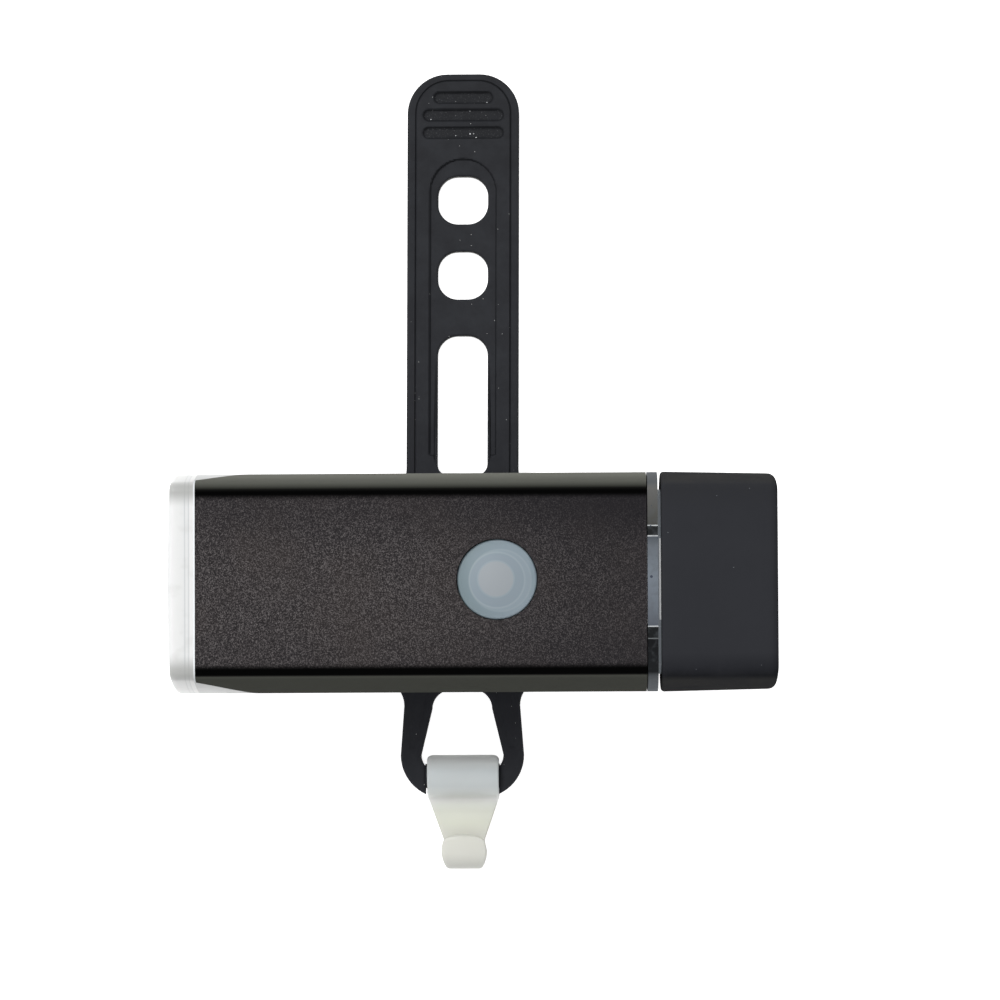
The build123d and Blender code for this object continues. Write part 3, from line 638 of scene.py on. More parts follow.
@dataclass(frozen=True)
class SiliconeFinish(Finish):
    """Translucent moulded rubber whose tone, with painted light in it, runs in bands along one axis, in
    millimetres.
    """

    along: str = "Y"
    bands: Bands = ()
    cloud_share: float = 0.12
    depth: float = 1.2
    weight: float = 0.3

    def colour(self, graph: Graph) -> bpy.types.NodeSocket:
        """Tone the bands, clouded a little."""
        cloud = graph.times(graph.noise(self.grain), self.cloud_share)
        return graph.mix(cloud, graph.bands(graph.axis(self.along), self.bands), linear(*self.fleck))

    def build(self) -> bpy.types.Material:
        """Make the material with soft scattering under its tone.

        Returns:
            The finished material.
        """
        graph = Graph(self.name)
        inputs = graph.shader.inputs
        graph.join(self.colour(graph), inputs["Base Color"])
        inputs["Subsurface Weight"].default_value = self.weight
        inputs["Subsurface Radius"].default_value = (1.0, 1.0, 1.0)
        inputs["Subsurface Scale"].default_value = self.depth * MM
        self.shine(graph)
        return graph.material


@dataclass(frozen=True)
class RingedFinish(SiliconeFinish):
    """Translucent rubber in soft discs round upright axes, each with a thin painted highlight along its edge.

    A disc is its centre's x and y and its radius, in millimetres, and its 8-bit tone.
    """

    discs: tuple[tuple[float, float, float, Colour], ...] = ()
    softness: float = 0.2
    edge_half_width: float = 0.02
    edge_highlight_tone: Colour = (186, 194, 199)
    edge_highlight_share: float = 0.16

    def colour(self, graph: Graph) -> bpy.types.NodeSocket:
        """Lay the discs over the bands, outer ones first.

        Args:
            graph: The node tree that the finish is made in.

        Returns:
            The socket that carries the colour.
        """
        tone = super().colour(graph)
        for x, y, radius, colour in self.discs:
            away = graph.away(x, y)
            inside = graph.without(graph.rise_mm(away, radius - self.softness, radius))
            tone = graph.mix(inside, tone, linear(*colour))
            # Painted highlight: a thin light line along each disc's edge.
            off_edge = graph.math("ABSOLUTE", graph.math("SUBTRACT", away, radius * MM))
            edge = graph.without(graph.rise_mm(off_edge, self.edge_half_width, self.softness))
            tone = graph.mix(graph.times(edge, self.edge_highlight_share), tone, linear(*self.edge_highlight_tone))
        return tone


@dataclass(frozen=True)
class ClearFinish(Finish):
    """Clear moulded plastic with a faint tint and slightly uneven polish."""

    transmission: float = 1.0


@dataclass(frozen=True)
class LensFinish(ClearFinish):
    """The lens: a clear pane in front, and frosted walls whose tone runs in bands along X.

    The walls take their end tone over the ends' span across, less of it over the corners' span, and faint
    blots all over.
    """

    bands: Bands = ()
    pane_half_width: float = 10.5
    pane_half_height: float = 9.0
    middle: float = 20.0
    frosted_clearness: float = 0.14
    frost_width: float = 1.0
    end_tone: Colour = (172, 173, 170)
    ends: tuple[float, float] = (9.8, 12.2)
    corners: tuple[float, float] = (12.6, 13.8)
    end_shares: tuple[float, float] = (0.8, 0.42)
    blot_tone: Colour = (205, 206, 203)
    blot_size: float = 2.2
    blot_span: tuple[float, float] = (0.5, 0.72)
    blot_share: float = 0.2

    def build(self) -> bpy.types.Material:
        """Make the material: the pane's share by how far inside the pane's edge a place lies.

        Returns:
            The finished material.
        """
        graph = Graph(self.name)
        across = graph.math("ABSOLUTE", graph.axis("Y"))
        height = graph.math("ABSOLUTE", graph.math("SUBTRACT", graph.axis("Z"), self.middle * MM))
        outside = graph.math("MAXIMUM", graph.math("SUBTRACT", across, self.pane_half_width * MM),
                             graph.math("SUBTRACT", height, self.pane_half_height * MM))
        frosted = graph.rise_mm(outside, 0.0, self.frost_width)
        share = graph.spread(graph.rise_mm(across, *self.corners), *self.end_shares)
        ends = graph.times(graph.rise_mm(across, *self.ends), share)
        walls = graph.mix(ends, graph.bands(graph.axis("X"), self.bands), linear(*self.end_tone))
        blots = graph.times(graph.rise(graph.noise(self.blot_size), *self.blot_span), self.blot_share)
        walls = graph.mix(blots, walls, linear(*self.blot_tone))
        inputs = graph.shader.inputs
        graph.join(graph.mix(frosted, linear(*self.tone), walls), inputs["Base Color"])
        graph.join(graph.spread(frosted, 1.0, self.frosted_clearness), inputs["Transmission Weight"])
        graph.join(graph.spread(frosted, *self.roughness), inputs["Roughness"])
        inputs["IOR"].default_value = self.ior
        inputs["Specular IOR Level"].default_value = self.specular
        return graph.material


@dataclass(frozen=True)
class CollarFinish(ClearFinish):
    """The collar: a ring painted in bands along Y with the dark wall and the plug behind it and with thin
    painted highlights, clear further in.

    Its outer strip is painted paler as painted light, with a painted glint beside the plug, and glows faintly
    with painted emission that stands in for light carried through the clear plastic. The dots' three numbers
    are their cell's size, their radius as a share of the cell, and their rarity.
    """

    bands: Bands = ()
    ring_end: float = 27.7
    strip_from: float = 27.24
    # Painted light: the outer strip's paler tone and its share.
    strip_light_tone: Colour = (178, 186, 193)
    strip_light_share: float = 0.6
    streak_tone: Colour = (92, 96, 100)
    streak_size: float = 0.9
    streak_span: tuple[float, float] = (0.45, 0.7)
    streak_share: float = 0.25
    dots: tuple[float, float, float] = (1.1, 0.2, 0.85)
    dot_tone: Colour = (70, 76, 88)
    glint_from: float = 27.4
    glint_half_width: float = 5.5
    glint_tone: Colour = (250, 252, 253)
    ring_clearness: float = 0.04
    # The strength of the painted glow.
    painted_glow_strength: float = 0.3

    def build(self) -> bpy.types.Material:
        """Make the material.

        Returns:
            The finished material.
        """
        graph = Graph(self.name)
        along, across = graph.axis("X"), graph.axis("Y")
        in_ring = graph.math("LESS_THAN", along, self.ring_end * MM)
        beside = graph.math("LESS_THAN", graph.math("ABSOLUTE", across), self.glint_half_width * MM)
        glint = graph.times(graph.math("GREATER_THAN", along, self.glint_from * MM), beside)
        streaks = graph.rise(graph.noise(self.streak_size, 3.0), *self.streak_span)
        ring = graph.mix(graph.times(streaks, self.streak_share), graph.bands(across, self.bands),
                         linear(*self.streak_tone))
        ring = graph.mix(graph.specks(*self.dots), ring, linear(*self.dot_tone))
        # Painted light: the outer strip is painted paler, and a painted glint lies beside the plug.
        strip = graph.times(graph.math("GREATER_THAN", along, self.strip_from * MM), self.strip_light_share)
        strip_light_tone, glint_tone, dark = linear(*self.strip_light_tone), linear(*self.glint_tone), linear(0, 0, 0)
        ring = graph.mix(glint, graph.mix(strip, ring, strip_light_tone), glint_tone)
        inputs = graph.shader.inputs
        # Painted glow: the strip and the glint also emit a little light.
        glow = graph.mix(glint, graph.mix(strip, dark, strip_light_tone), glint_tone)
        graph.join(graph.mix(in_ring, dark, glow), inputs["Emission Color"])
        inputs["Emission Strength"].default_value = self.painted_glow_strength
        graph.join(graph.mix(in_ring, linear(*self.tone), ring), inputs["Base Color"])
        graph.join(graph.spread(in_ring, 1.0, self.ring_clearness), inputs["Transmission Weight"])
        graph.join(graph.spread(graph.noise(self.grain), *self.roughness), inputs["Roughness"])
        inputs["IOR"].default_value = self.ior
        inputs["Specular IOR Level"].default_value = self.specular
        return graph.material


# Painted reflections on the sleeve: the shoulders are painted near black for the dark surroundings that they
# mirror, and the smooth olive sides are painted lighter, most towards +Y, for the pale floor that they
# mirror.
SIDE_REFLECTION_BANDS: Bands = ((-15.0, (78, 79, 74)), (-13.0, (76, 77, 72)), (-12.85, (8, 8, 8)), (-12.2, (6, 6, 6)),
                     (12.0, (6, 6, 6)), (12.3, (20, 20, 19)), (12.8, (72, 73, 68)), (13.4, (98, 99, 93)),
                     (14.2, (118, 119, 112)), (15.0, (128, 129, 122)))
# The cap's tone along Y, with painted shade on the -Y shoulder and painted light on both sides, most on the
# +Y side.
CAP_TONE_AND_SHADE_BANDS: Bands = ((-15.1, (62, 62, 62)), (-13.7, (60, 60, 60)), (-13.1, (34, 35, 38)),
                    (-12.2, (38, 39, 43)), (-10.0, (51, 52, 56)), (-4.0, (52, 53, 57)), (9.0, (52, 53, 57)),
                    (12.6, (50, 51, 54)), (13.4, (62, 62, 62)), (15.1, (70, 70, 69)))
# The strap's tone along Y, with the loop's legs past -13 mm painted lighter, most near the housing, as
# painted light against the housing's shadow.
STRAP_TONE_AND_LIGHT_BANDS: Bands = ((-30.0, (42, 43, 47)), (-15.0, (47, 48, 53)), (-13.0, (42, 43, 47)),
                      (14.0, (43, 44, 48)), (72.0, (40, 41, 44)))
# The button's tone along X, painted lighter towards +X as painted light.
BUTTON_TONE_AND_LIGHT_BANDS: Bands = ((0.0, (121, 138, 144)), (2.0, (129, 145, 152)), (7.0, (141, 155, 164)),
                       (9.6, (143, 157, 166)), (11.0, (132, 148, 157)))
# The button's rings: each disc's centre, radius and tone; the first disc, set off towards +X, is a patch of
# painted light.
BUTTON_DISCS = ((5.95, -0.15, 4.15, (146, 159, 168)), (5.5, -0.1, 3.75, (143, 156, 165)),
                (5.35, 0.05, 2.45, (160, 166, 171)))
# The hook's tone along Y, with painted light: near white from -30.6 to -29.0 mm, in the crease where the eye
# meets the plate, and lighter from -24.8 mm over the eye's end towards the housing, against the shadow of the
# housing and the strap.
HOOK_TONE_AND_LIGHT_BANDS: Bands = ((-39.5, (213, 213, 206)), (-39.0, (220, 220, 213)), (-34.6, (224, 224, 215)),
                     (-33.0, (226, 228, 215)), (-31.4, (228, 230, 219)), (-30.6, (239, 242, 234)),
                     (-29.8, (254, 255, 252)), (-29.0, (228, 232, 230)), (-27.9, (214, 220, 221)),
                     (-25.8, (221, 228, 230)), (-24.8, (238, 243, 243)), (-23.4, (247, 250, 248)))
LENS_BANDS: Bands = ((-39.1, (204, 206, 206)), (-38.85, (253, 254, 254)), (-38.3, (254, 254, 254)),
                     (-37.6, (249, 250, 249)), (-36.75, (245, 246, 246)), (-36.62, (214, 217, 218)),
                     (-36.5, (246, 247, 247)), (-36.2, (244, 246, 246)), (-36.08, (216, 219, 220)),
                     (-35.98, (254, 254, 254)), (-35.5, (254, 254, 254)), (-35.4, (150, 153, 154)),
                     (-34.0, (160, 163, 164)), (-27.0, (152, 154, 155)))
# The collar ring's bands along Y: dark for the wall seen behind it, darker on the -Y side, and thin pale
# lines at about -8.1, -6.4, 5.75 and 7.15 mm that are painted highlights.
COLLAR_RING_AND_HIGHLIGHT_BANDS: Bands = ((-15.0, (112, 117, 122)), (-13.3, (100, 104, 108)), (-12.6, (34, 36, 38)),
                       (-8.2, (28, 29, 31)), (-8.15, (120, 124, 126)), (-8.05, (120, 124, 126)),
                       (-8.0, (34, 36, 37)), (-6.52, (34, 36, 37)), (-6.48, (226, 230, 232)),
                       (-6.38, (226, 230, 232)), (-6.33, (92, 97, 105)), (-3.5, (112, 119, 128)),
                       (0.5, (122, 130, 139)), (4.5, (108, 114, 121)), (5.64, (84, 90, 97)),
                       (5.69, (236, 239, 241)), (5.81, (236, 239, 241)), (5.86, (38, 40, 41)),
                       (7.05, (38, 40, 41)), (7.1, (222, 226, 228)), (7.2, (222, 226, 228)),
                       (7.26, (76, 76, 73)), (12.2, (106, 106, 104)), (13.0, (94, 97, 99)),
                       (15.0, (104, 108, 112)))

FINISHES: dict[Slot, Finish] = {
    Slot.SLEEVE: AnodisedFinish("anodised_dark", (31, 30, 31), (54, 51, 52), grain=0.1, metallic=0.4,
                                roughness=(0.6, 0.48), relief=0.004, specular=0.0, bands=SIDE_REFLECTION_BANDS),
    Slot.CLEAR: ClearFinish("clear_polycarbonate", (247, 249, 250), (240, 243, 245), grain=3.0,
                            roughness=(0.01, 0.06), relief=0.004, ior=1.5),
    Slot.OPTIC: ClearFinish("optic_acrylic", (250, 251, 252), (246, 248, 250), grain=2.0,
                            roughness=(0.0, 0.03), relief=0.0, ior=1.49),
    Slot.SEAL: Finish("seal_rubber", (28, 28, 28), (38, 38, 38), grain=0.3, roughness=(0.6, 0.8),
                      specular=0.2),
    Slot.MOULDING: Finish("black_moulding", (24, 24, 26), (36, 36, 38), grain=0.25, roughness=(0.45, 0.6),
                          specular=0.3),
    Slot.ALUMINIUM: Finish("milled_aluminium", (196, 198, 200), (214, 216, 218), grain=0.2, metallic=1.0,
                           roughness=(0.25, 0.4), relief=0.006),
    Slot.EMITTER: Finish("phosphor_yellow", (232, 214, 110), (240, 226, 140), grain=0.3,
                         roughness=(0.2, 0.35), coat=0.5),
    Slot.STEEL: Finish("zinc_plated_steel", (150, 150, 152), (176, 176, 178), grain=0.3, metallic=1.0,
                       roughness=(0.22, 0.38), relief=0.004),
    Slot.LEADS: Finish("red_insulation", (150, 24, 20), (172, 32, 26), grain=0.6, roughness=(0.35, 0.5)),
    Slot.BOARD: Finish("solder_mask", (16, 70, 38), (26, 92, 50), grain=0.8, roughness=(0.25, 0.4), coat=0.3),
    Slot.CHIP: Finish("chip_epoxy", (24, 24, 25), (34, 34, 35), grain=0.15, roughness=(0.5, 0.65)),
    Slot.FOIL: Finish("cell_foil", (180, 182, 184), (200, 202, 204), grain=1.2, metallic=0.9,
                      roughness=(0.2, 0.45), relief=0.03),
    Slot.FOAM: Finish("grey_foam", (84, 84, 86), (60, 60, 62), grain=0.35, roughness=(0.8, 0.95),
                      relief=0.08),
    Slot.SHELL: Finish("nickel_shell", (200, 200, 202), (216, 216, 218), grain=0.5, metallic=1.0,
                       roughness=(0.12, 0.25), relief=0.003),
    Slot.TONGUE: Finish("tongue_plastic", (226, 226, 222), (236, 236, 232), grain=0.6, roughness=(0.3, 0.42)),
    Slot.CONTACTS: Finish("gold_contacts", (214, 168, 82), (228, 186, 100), grain=0.3, metallic=1.0,
                          roughness=(0.2, 0.3), relief=0.002),
    Slot.BUTTON: RingedFinish("button_silicone", (150, 168, 178), (158, 171, 179), grain=3.0,
                              roughness=(0.35, 0.45), relief=0.006, specular=0.2, along="X",
                              bands=BUTTON_TONE_AND_LIGHT_BANDS, discs=BUTTON_DISCS, depth=1.0),
    Slot.CAP: DustyFinish("soft_touch_black", (44, 45, 49), (49, 50, 54), grain=0.25, roughness=(0.6, 0.72),
                          relief=0.004, specular=0.0, dust=0.97, dust_tone=(104, 108, 112), bands=CAP_TONE_AND_SHADE_BANDS),
    Slot.STRAP: StrapFinish("strap_silicone", (36, 37, 41), (52, 54, 58), grain=0.5, roughness=(0.55, 0.7),
                            relief=0.008, specular=0.08, cloud=3.0, dust=0.91, dust_cell=1.6,
                            bands=STRAP_TONE_AND_LIGHT_BANDS),
    Slot.HOOK: SiliconeFinish("hook_milky", (200, 204, 200), (216, 217, 210), grain=4.0,
                              roughness=(0.32, 0.45), relief=0.006, specular=0.3, bands=HOOK_TONE_AND_LIGHT_BANDS,
                              depth=1.5),
}

NODE_FINISHES: dict[str, Finish] = {
    "front_lens": LensFinish("lens_polycarbonate", (247, 249, 250), (240, 243, 245), roughness=(0.02, 0.3),
                             specular=0.3, ior=1.45, bands=LENS_BANDS),
    "end_collar": CollarFinish("collar_polycarbonate", (244, 247, 249), (236, 240, 243), grain=0.6,
                               roughness=(0.08, 0.2), specular=0.0, ior=1.45, bands=COLLAR_RING_AND_HIGHLIGHT_BANDS),
}


def put_mesh(name: str, points: np.ndarray, faces: np.ndarray) -> bpy.types.Object:
    """Put points and faces into a new object, close its seams and poles, and turn its faces outwards.

    Args:
        name: The piece's name.
        points: Places in metres, one row each.
        faces: Corner numbers, four or three to a row.

    Returns:
        The object, linked to the scene, at the origin.
    """
    mesh = bpy.data.meshes.new(name)
    mesh.from_pydata(points.reshape(-1, 3).tolist(), [], faces.tolist())
    shaped = bmesh.new()
    shaped.from_mesh(mesh)
    bmesh.ops.remove_doubles(shaped, verts=shaped.verts, dist=WELD)
    bmesh.ops.dissolve_degenerate(shaped, edges=shaped.edges, dist=WELD)
    bmesh.ops.recalc_face_normals(shaped, faces=shaped.faces)
    shaped.to_mesh(mesh)
    shaped.free()
    mesh.polygons.foreach_set("use_smooth", np.ones(len(mesh.polygons), bool))
    mesh.set_sharp_from_angle(angle=SMOOTH_ANGLE)
    piece = bpy.data.objects.new(name, mesh)
    bpy.context.scene.collection.objects.link(piece)
    return piece


def grid_faces(rows: int, columns: int, wrap_rows: bool) -> np.ndarray:
    """Number the four corners of every cell of a grid whose columns run round.

    Cell (i, j) joins points (i, j), (i, j+1), (i+1, j+1) and (i+1, j). The last column is joined to the
    first, and so is the last row where the rows wrap.

    Args:
        rows: Points along the first parameter.
        columns: Points along the second parameter.
        wrap_rows: Whether the first parameter runs round too.

    Returns:
        The faces, four corners to a row.
    """
    i, j = np.meshgrid(np.arange(rows if wrap_rows else rows - 1), np.arange(columns), indexing="ij")
    below, beside = (i + 1) % rows, (j + 1) % columns
    corners = [i * columns + j, i * columns + beside, below * columns + beside, below * columns + j]
    return np.stack(corners, axis=-1).reshape(-1, 4)


def surface(name: str, grid: np.ndarray, wrap_rows: bool = False) -> bpy.types.Object:
    """Make a piece from a grid of points in millimetres."""
    rows, columns = grid.shape[:2]
    return put_mesh(name, grid * MM, grid_faces(rows, columns, wrap_rows))


def arc(centre: tuple[float, float], radius: float, start: float, end: float, count: int) -> np.ndarray:
    """List points on an arc: centre plus radius times (cosine, sine) of angles in degrees."""
    angle = np.radians(np.linspace(start, end, count))
    return np.stack([centre[0] + radius * np.cos(angle), centre[1] + radius * np.sin(angle)], axis=-1)


def rounded_polygon(corners: np.ndarray, radii: np.ndarray, steps: int = 10) -> np.ndarray:
    """Round a closed polygon's corners with tangent arcs.

    At each corner the arc starts and ends at radius / tan(half the corner's angle) from it. The arc's points
    are the circle's centre, on the corner's bisector, plus the radius turned evenly from one tangent to the
    other.

    Args:
        corners: The polygon's corners, in order.
        radii: One radius for each corner.
        steps: Points on each arc.

    Returns:
        The outline's points, in order.
    """
    before = np.roll(corners, 1, axis=0) - corners
    after = np.roll(corners, -1, axis=0) - corners
    before /= np.linalg.norm(before, axis=1, keepdims=True)
    after /= np.linalg.norm(after, axis=1, keepdims=True)
    half = np.arccos(np.clip((before * after).sum(axis=1), -1, 1)) / 2
    reach = radii / np.tan(half)
    bisector = before + after
    bisector /= np.linalg.norm(bisector, axis=1, keepdims=True)
    centre = corners + bisector * (radii / np.sin(half))[:, None]
    start = corners + before * reach[:, None] - centre
    end = corners + after * reach[:, None] - centre
    sweep = math.pi - 2 * half
    share = np.linspace(0, 1, steps)[None, :, None]
    swing = np.where(np.abs(sweep) < 1e-6, 1e-6, sweep)[:, None, None]
    arcs = np.sin((1 - share) * swing) * start[:, None] + np.sin(share * swing) * end[:, None]
    return (centre[:, None] + arcs / np.sin(swing)).reshape(-1, 2)


def round_box_distance(points: np.ndarray, centre: tuple[float, float], half: tuple[float, float],
                       radius: np.ndarray | float) -> np.ndarray:
    """Measure how far points lie outside a rectangle with rounded corners, negative inside.

    With q = |p - centre| - half + r, it is the length of q's positive part plus the lesser of q's larger
    component and 0, minus r.

    Args:
        points: Places in plan, one row each.
        centre: The rectangle's middle.
        half: Half its width and half its length.
        radius: The corners' radius, one for all or one for each point.

    Returns:
        The signed distances.
    """
    q = np.abs(points - np.array(centre)) - np.array(half) + np.reshape(radius, (-1, 1))
    outside = np.linalg.norm(np.maximum(q, 0), axis=1)
    return outside + np.minimum(q.max(axis=1), 0) - np.ravel(radius)


def step_up(value: np.ndarray, width: float) -> np.ndarray:
    """Rise smoothly from 0 to 1 as a value goes from minus half a width to plus half of it."""
    share = np.clip(value / width + 0.5, 0, 1)
    return share * share * (3 - 2 * share)


def edge_drop(inside: np.ndarray, radius: float) -> np.ndarray:
    """Drop a rounded edge by r - sqrt(r² - (r - d)²) at a distance d in from it, and by 0 beyond r."""
    short = np.clip(radius - inside, 0, radius)
    return radius - np.sqrt(radius ** 2 - short ** 2)


@dataclass
class Section:
    """The housing's section: two flats, four rounded shoulders and two bowed sides, in millimetres."""

    width: float = 30.0
    height: float = 26.0
    middle: float = 20.0
    bow: float = 1.85
    shoulder: float = 1.5
    least_corner: float = 0.6
    flat_points: int = 24
    shoulder_points: int = 9
    side_points: int = 14
    end_shares: tuple[float, ...] = (0.75, 0.4, 0.0)

    def loop(self, inset: float = 0.0) -> np.ndarray:
        """Trace the section at a depth inside the surface.

        The side's arc has radius ((h/2)² + bow²) / (2 bow). The shoulder's centre lies where the side's
        circle, drawn in by the shoulder's radius, meets the level of the flat, drawn in by it too. A quarter
        is made of half a flat, the shoulder's arc and half a side, and mirrored twice.

        Args:
            inset: Depth inside the outer surface.

        Returns:
            The loop's (y, z) points, anticlockwise from the top flat's middle.
        """
        half = self.height / 2
        side = (half ** 2 + self.bow ** 2) / (2 * self.bow)
        side_y = self.width / 2 - side
        corner = max(self.shoulder - inset, self.least_corner)
        level = half - inset - corner
        reach = side - inset - corner
        corner_y = side_y + math.sqrt(reach ** 2 - level ** 2)
        turn = math.degrees(math.atan2(level, corner_y - side_y))
        flat = np.stack([np.linspace(0, corner_y, self.flat_points, endpoint=False),
                         np.full(self.flat_points, half - inset)], axis=-1)
        bend = arc((corner_y, level), corner, 90, turn, self.shoulder_points)
        bowed = arc((side_y, 0), side - inset, turn, 0, self.side_points)[1:]
        quarter = np.concatenate([flat, bend, bowed])
        lower = (quarter * (1, -1))[::-1][1:]
        right = np.concatenate([quarter, lower])
        left = (right * (-1, 1))[::-1][1:-1]
        return np.concatenate([right, left]) + (0, self.middle)

    def loft(self, stations: list[tuple[float, float]]) -> np.ndarray:
        """Carry the section along X through stations, each a place and an inset."""
        rings = [np.column_stack([np.full(len(loop), x), loop]) for x, loop in
                 ((x, self.loop(inset)) for x, inset in stations)]
        return np.stack(rings)

    def closed_end(self, x: float, inset: float) -> np.ndarray:
        """Close an end by drawing the section in to a point at its middle.

        Args:
            x: Where the end lies.
            inset: The section's depth inside the surface.

        Returns:
            The rings, the last of them drawn to the point.
        """
        loop = self.loop(inset)
        shares = np.array(self.end_shares)[:, None, None]
        drawn = (loop - (0, self.middle)) * shares + (0, self.middle)
        return np.concatenate([np.full((*drawn.shape[:2], 1), x), drawn], axis=-1)


def finish_piece(piece: bpy.types.Object, body: Body, slot: Slot, materials: Materials,
                 *nodes: str) -> bpy.types.Object:
    """Dress a new piece, let it ride on its body and stand for its nodes.

    Args:
        piece: The new object.
        body: The body that it moves with.
        slot: The material slot that it takes its finish from.
        materials: The finished materials.
        *nodes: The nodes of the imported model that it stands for.

    Returns:
        The same object.
    """
    piece.data.materials.clear()
    piece.data.materials.append(materials[slot])
    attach(piece, body.value)
    if nodes:
        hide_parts(*nodes)
    log.info("%s: %d faces on %s", piece.name, len(piece.data.polygons), body.value)
    return piece


@dataclass
class Button:
    """The translucent button: a stepped dome over a flange and a plunger, all turned round one axis."""

    x: float = 5.5
    top: float = 33.0
    sink: float = 0.45
    radius: float = 5.42
    steps: tuple[tuple[float, float], ...] = ((4.5, 0.08), (3.6, 0.16), (2.5, 0.24))
    edge: float = 0.3
    step_slope: float = 0.25
    flange_radius: float = 6.6
    flange_top: float = 30.9
    flange_bottom: float = 29.9
    plunger_radius: float = 2.0
    plunger_bottom: float = 22.15
    around: int = 96

    def profile(self) -> np.ndarray:
        """List the turned outline from the face's middle to the plunger's end, as (radius, height).

        Returns:
            The outline's points, in order.
        """
        face = self.top - self.sink
        tops = [(0.0, face + self.steps[-1][1])]
        for (outer, rise), lower in zip(self.steps[::-1], [s[1] for s in self.steps[-2::-1]] + [0.0]):
            tops += [(outer - self.step_slope, face + rise), (outer, face + lower)]
        rounded = [tuple(point) for point in
                   arc((self.radius - self.edge, face - self.edge), self.edge, 90, 0, 6)]
        below = [(self.radius, self.flange_top), (self.flange_radius, self.flange_top),
                 (self.flange_radius, self.flange_bottom), (self.plunger_radius, self.flange_bottom),
                 (self.plunger_radius, self.plunger_bottom), (0.0, self.plunger_bottom)]
        return np.array(tops + rounded + below)

    def build(self, materials: Materials) -> bpy.types.Object:
        """Turn the profile round the button's axis: (x + r cos a, r sin a, h).

        Args:
            materials: The finished materials.

        Returns:
            The finished piece.
        """
        radius, height = self.profile().T[:, :, None]
        angle = np.linspace(0, 2 * math.pi, self.around, endpoint=False)[None, :]
        grid = np.stack([self.x + radius * np.cos(angle), radius * np.sin(angle),
                         np.broadcast_to(height, radius.shape[:1] + angle.shape[1:])], axis=-1)
        piece = surface("button_face", grid)
        return finish_piece(piece, Body.BUTTON, Slot.BUTTON, materials, "button")


@dataclass
class Cap:
    """The soft-touch cap: a drafted cup with a rounded rear edge, hollow over the plug."""

    section: Section
    front: float = 27.62
    length: float = 15.8
    swell: float = 0.049
    draft: float = 1.2
    front_edge: float = 0.5
    rear_edge: float = 1.1
    side_margin: float = 2.0
    side_stations: int = 6
    inset: float = 2.1
    end_wall: float = 2.4

    def shrink(self, x: float) -> float:
        """Work out how far the draft draws the surface in at a place."""
        return (x - self.front) * math.tan(math.radians(self.draft)) - self.swell

    def build(self, materials: Materials) -> bpy.types.Object:
        """Loft the inside, the rim, the drafted outside and the rounded end.

        Args:
            materials: The finished materials.

        Returns:
            The finished piece.
        """
        rear = self.front + self.length
        inner_end = rear - self.end_wall
        rim = arc((self.front + self.front_edge, self.front_edge), self.front_edge, 180, 270, 6)
        end = arc((rear - self.rear_edge, self.rear_edge), self.rear_edge, 270, 360, 9)
        stations = [(inner_end, self.inset), (self.front, self.inset)]
        stations += [(x, depth + self.shrink(x)) for x, depth in rim]
        sides = np.linspace(self.front + self.side_margin, rear - self.side_margin, self.side_stations)
        stations += [(x, self.shrink(x)) for x in sides]
        stations += [(x, depth + self.shrink(x)) for x, depth in end]
        outside = self.section.loft(stations)
        inner_close = self.section.closed_end(inner_end, self.inset)[::-1]
        outer_close = self.section.closed_end(rear, self.rear_edge + self.shrink(rear))
        piece = surface("cap_shell", np.concatenate([inner_close, outside, outer_close]))
        return finish_piece(piece, Body.CAP, Slot.CAP, materials, "rear_cap")


def drawn_in(loop: np.ndarray, inset: float) -> np.ndarray:
    """Draw a closed anticlockwise or clockwise loop in by an inset, along the mean of its edges' normals.

    Args:
        loop: The loop's points, in order.
        inset: How far to draw it in.

    Returns:
        The new loop, with as many points.
    """
    if not inset:
        return loop
    ahead = np.roll(loop, -1, axis=0) - loop
    length = np.linalg.norm(ahead, axis=1, keepdims=True)
    normal = np.stack([-ahead[:, 1], ahead[:, 0]], axis=-1) / np.maximum(length, 1e-9)
    area = (loop[:, 0] * np.roll(loop[:, 1], -1) - np.roll(loop[:, 0], -1) * loop[:, 1]).sum()
    normal *= np.sign(area)
    mean = normal + np.roll(normal, 1, axis=0)
    size = np.maximum((mean ** 2).sum(axis=1, keepdims=True) / 2, 0.3)
    return loop + mean / size * inset


def evenly(loop: np.ndarray, count: int) -> np.ndarray:
    """Place a number of points evenly along a closed loop, by its running length.

    Args:
        loop: The loop's points, in order.
        count: How many points to place.

    Returns:
        The points, from the loop's first one on.
    """
    closed = np.concatenate([loop, loop[:1]])
    run = np.concatenate([[0], np.cumsum(np.linalg.norm(np.diff(closed, axis=0), axis=1))])
    wanted = np.linspace(0, run[-1], count, endpoint=False)
    return np.stack([np.interp(wanted, run, closed[:, 0]), np.interp(wanted, run, closed[:, 1])], axis=-1)


def inside_loops(points: np.ndarray, loops: list[np.ndarray]) -> np.ndarray:
    """Tell which points lie inside a set of loops, holes taken out.

    A point is inside when a ray from it along +X crosses the loops' edges an odd number of times.

    Args:
        points: Places in plan.
        loops: Closed outlines, outer ones and holes together.

    Returns:
        One truth value for each point.
    """
    start = np.concatenate(loops)
    end = np.concatenate([np.roll(loop, -1, axis=0) for loop in loops])
    odd = np.zeros(len(points), bool)
    for part in np.array_split(np.arange(len(points)), max(1, len(points) // BLOCK)):
        x, y = points[part, 0:1], points[part, 1:2]
        spans = (start[:, 1] > y) != (end[:, 1] > y)
        rise = np.where(end[:, 1] == start[:, 1], 1.0, end[:, 1] - start[:, 1])
        cross = start[:, 0] + (y - start[:, 1]) * (end[:, 0] - start[:, 0]) / rise
        odd[part] = (spans & (x < cross)).sum(axis=1) % 2 == 1
    return odd


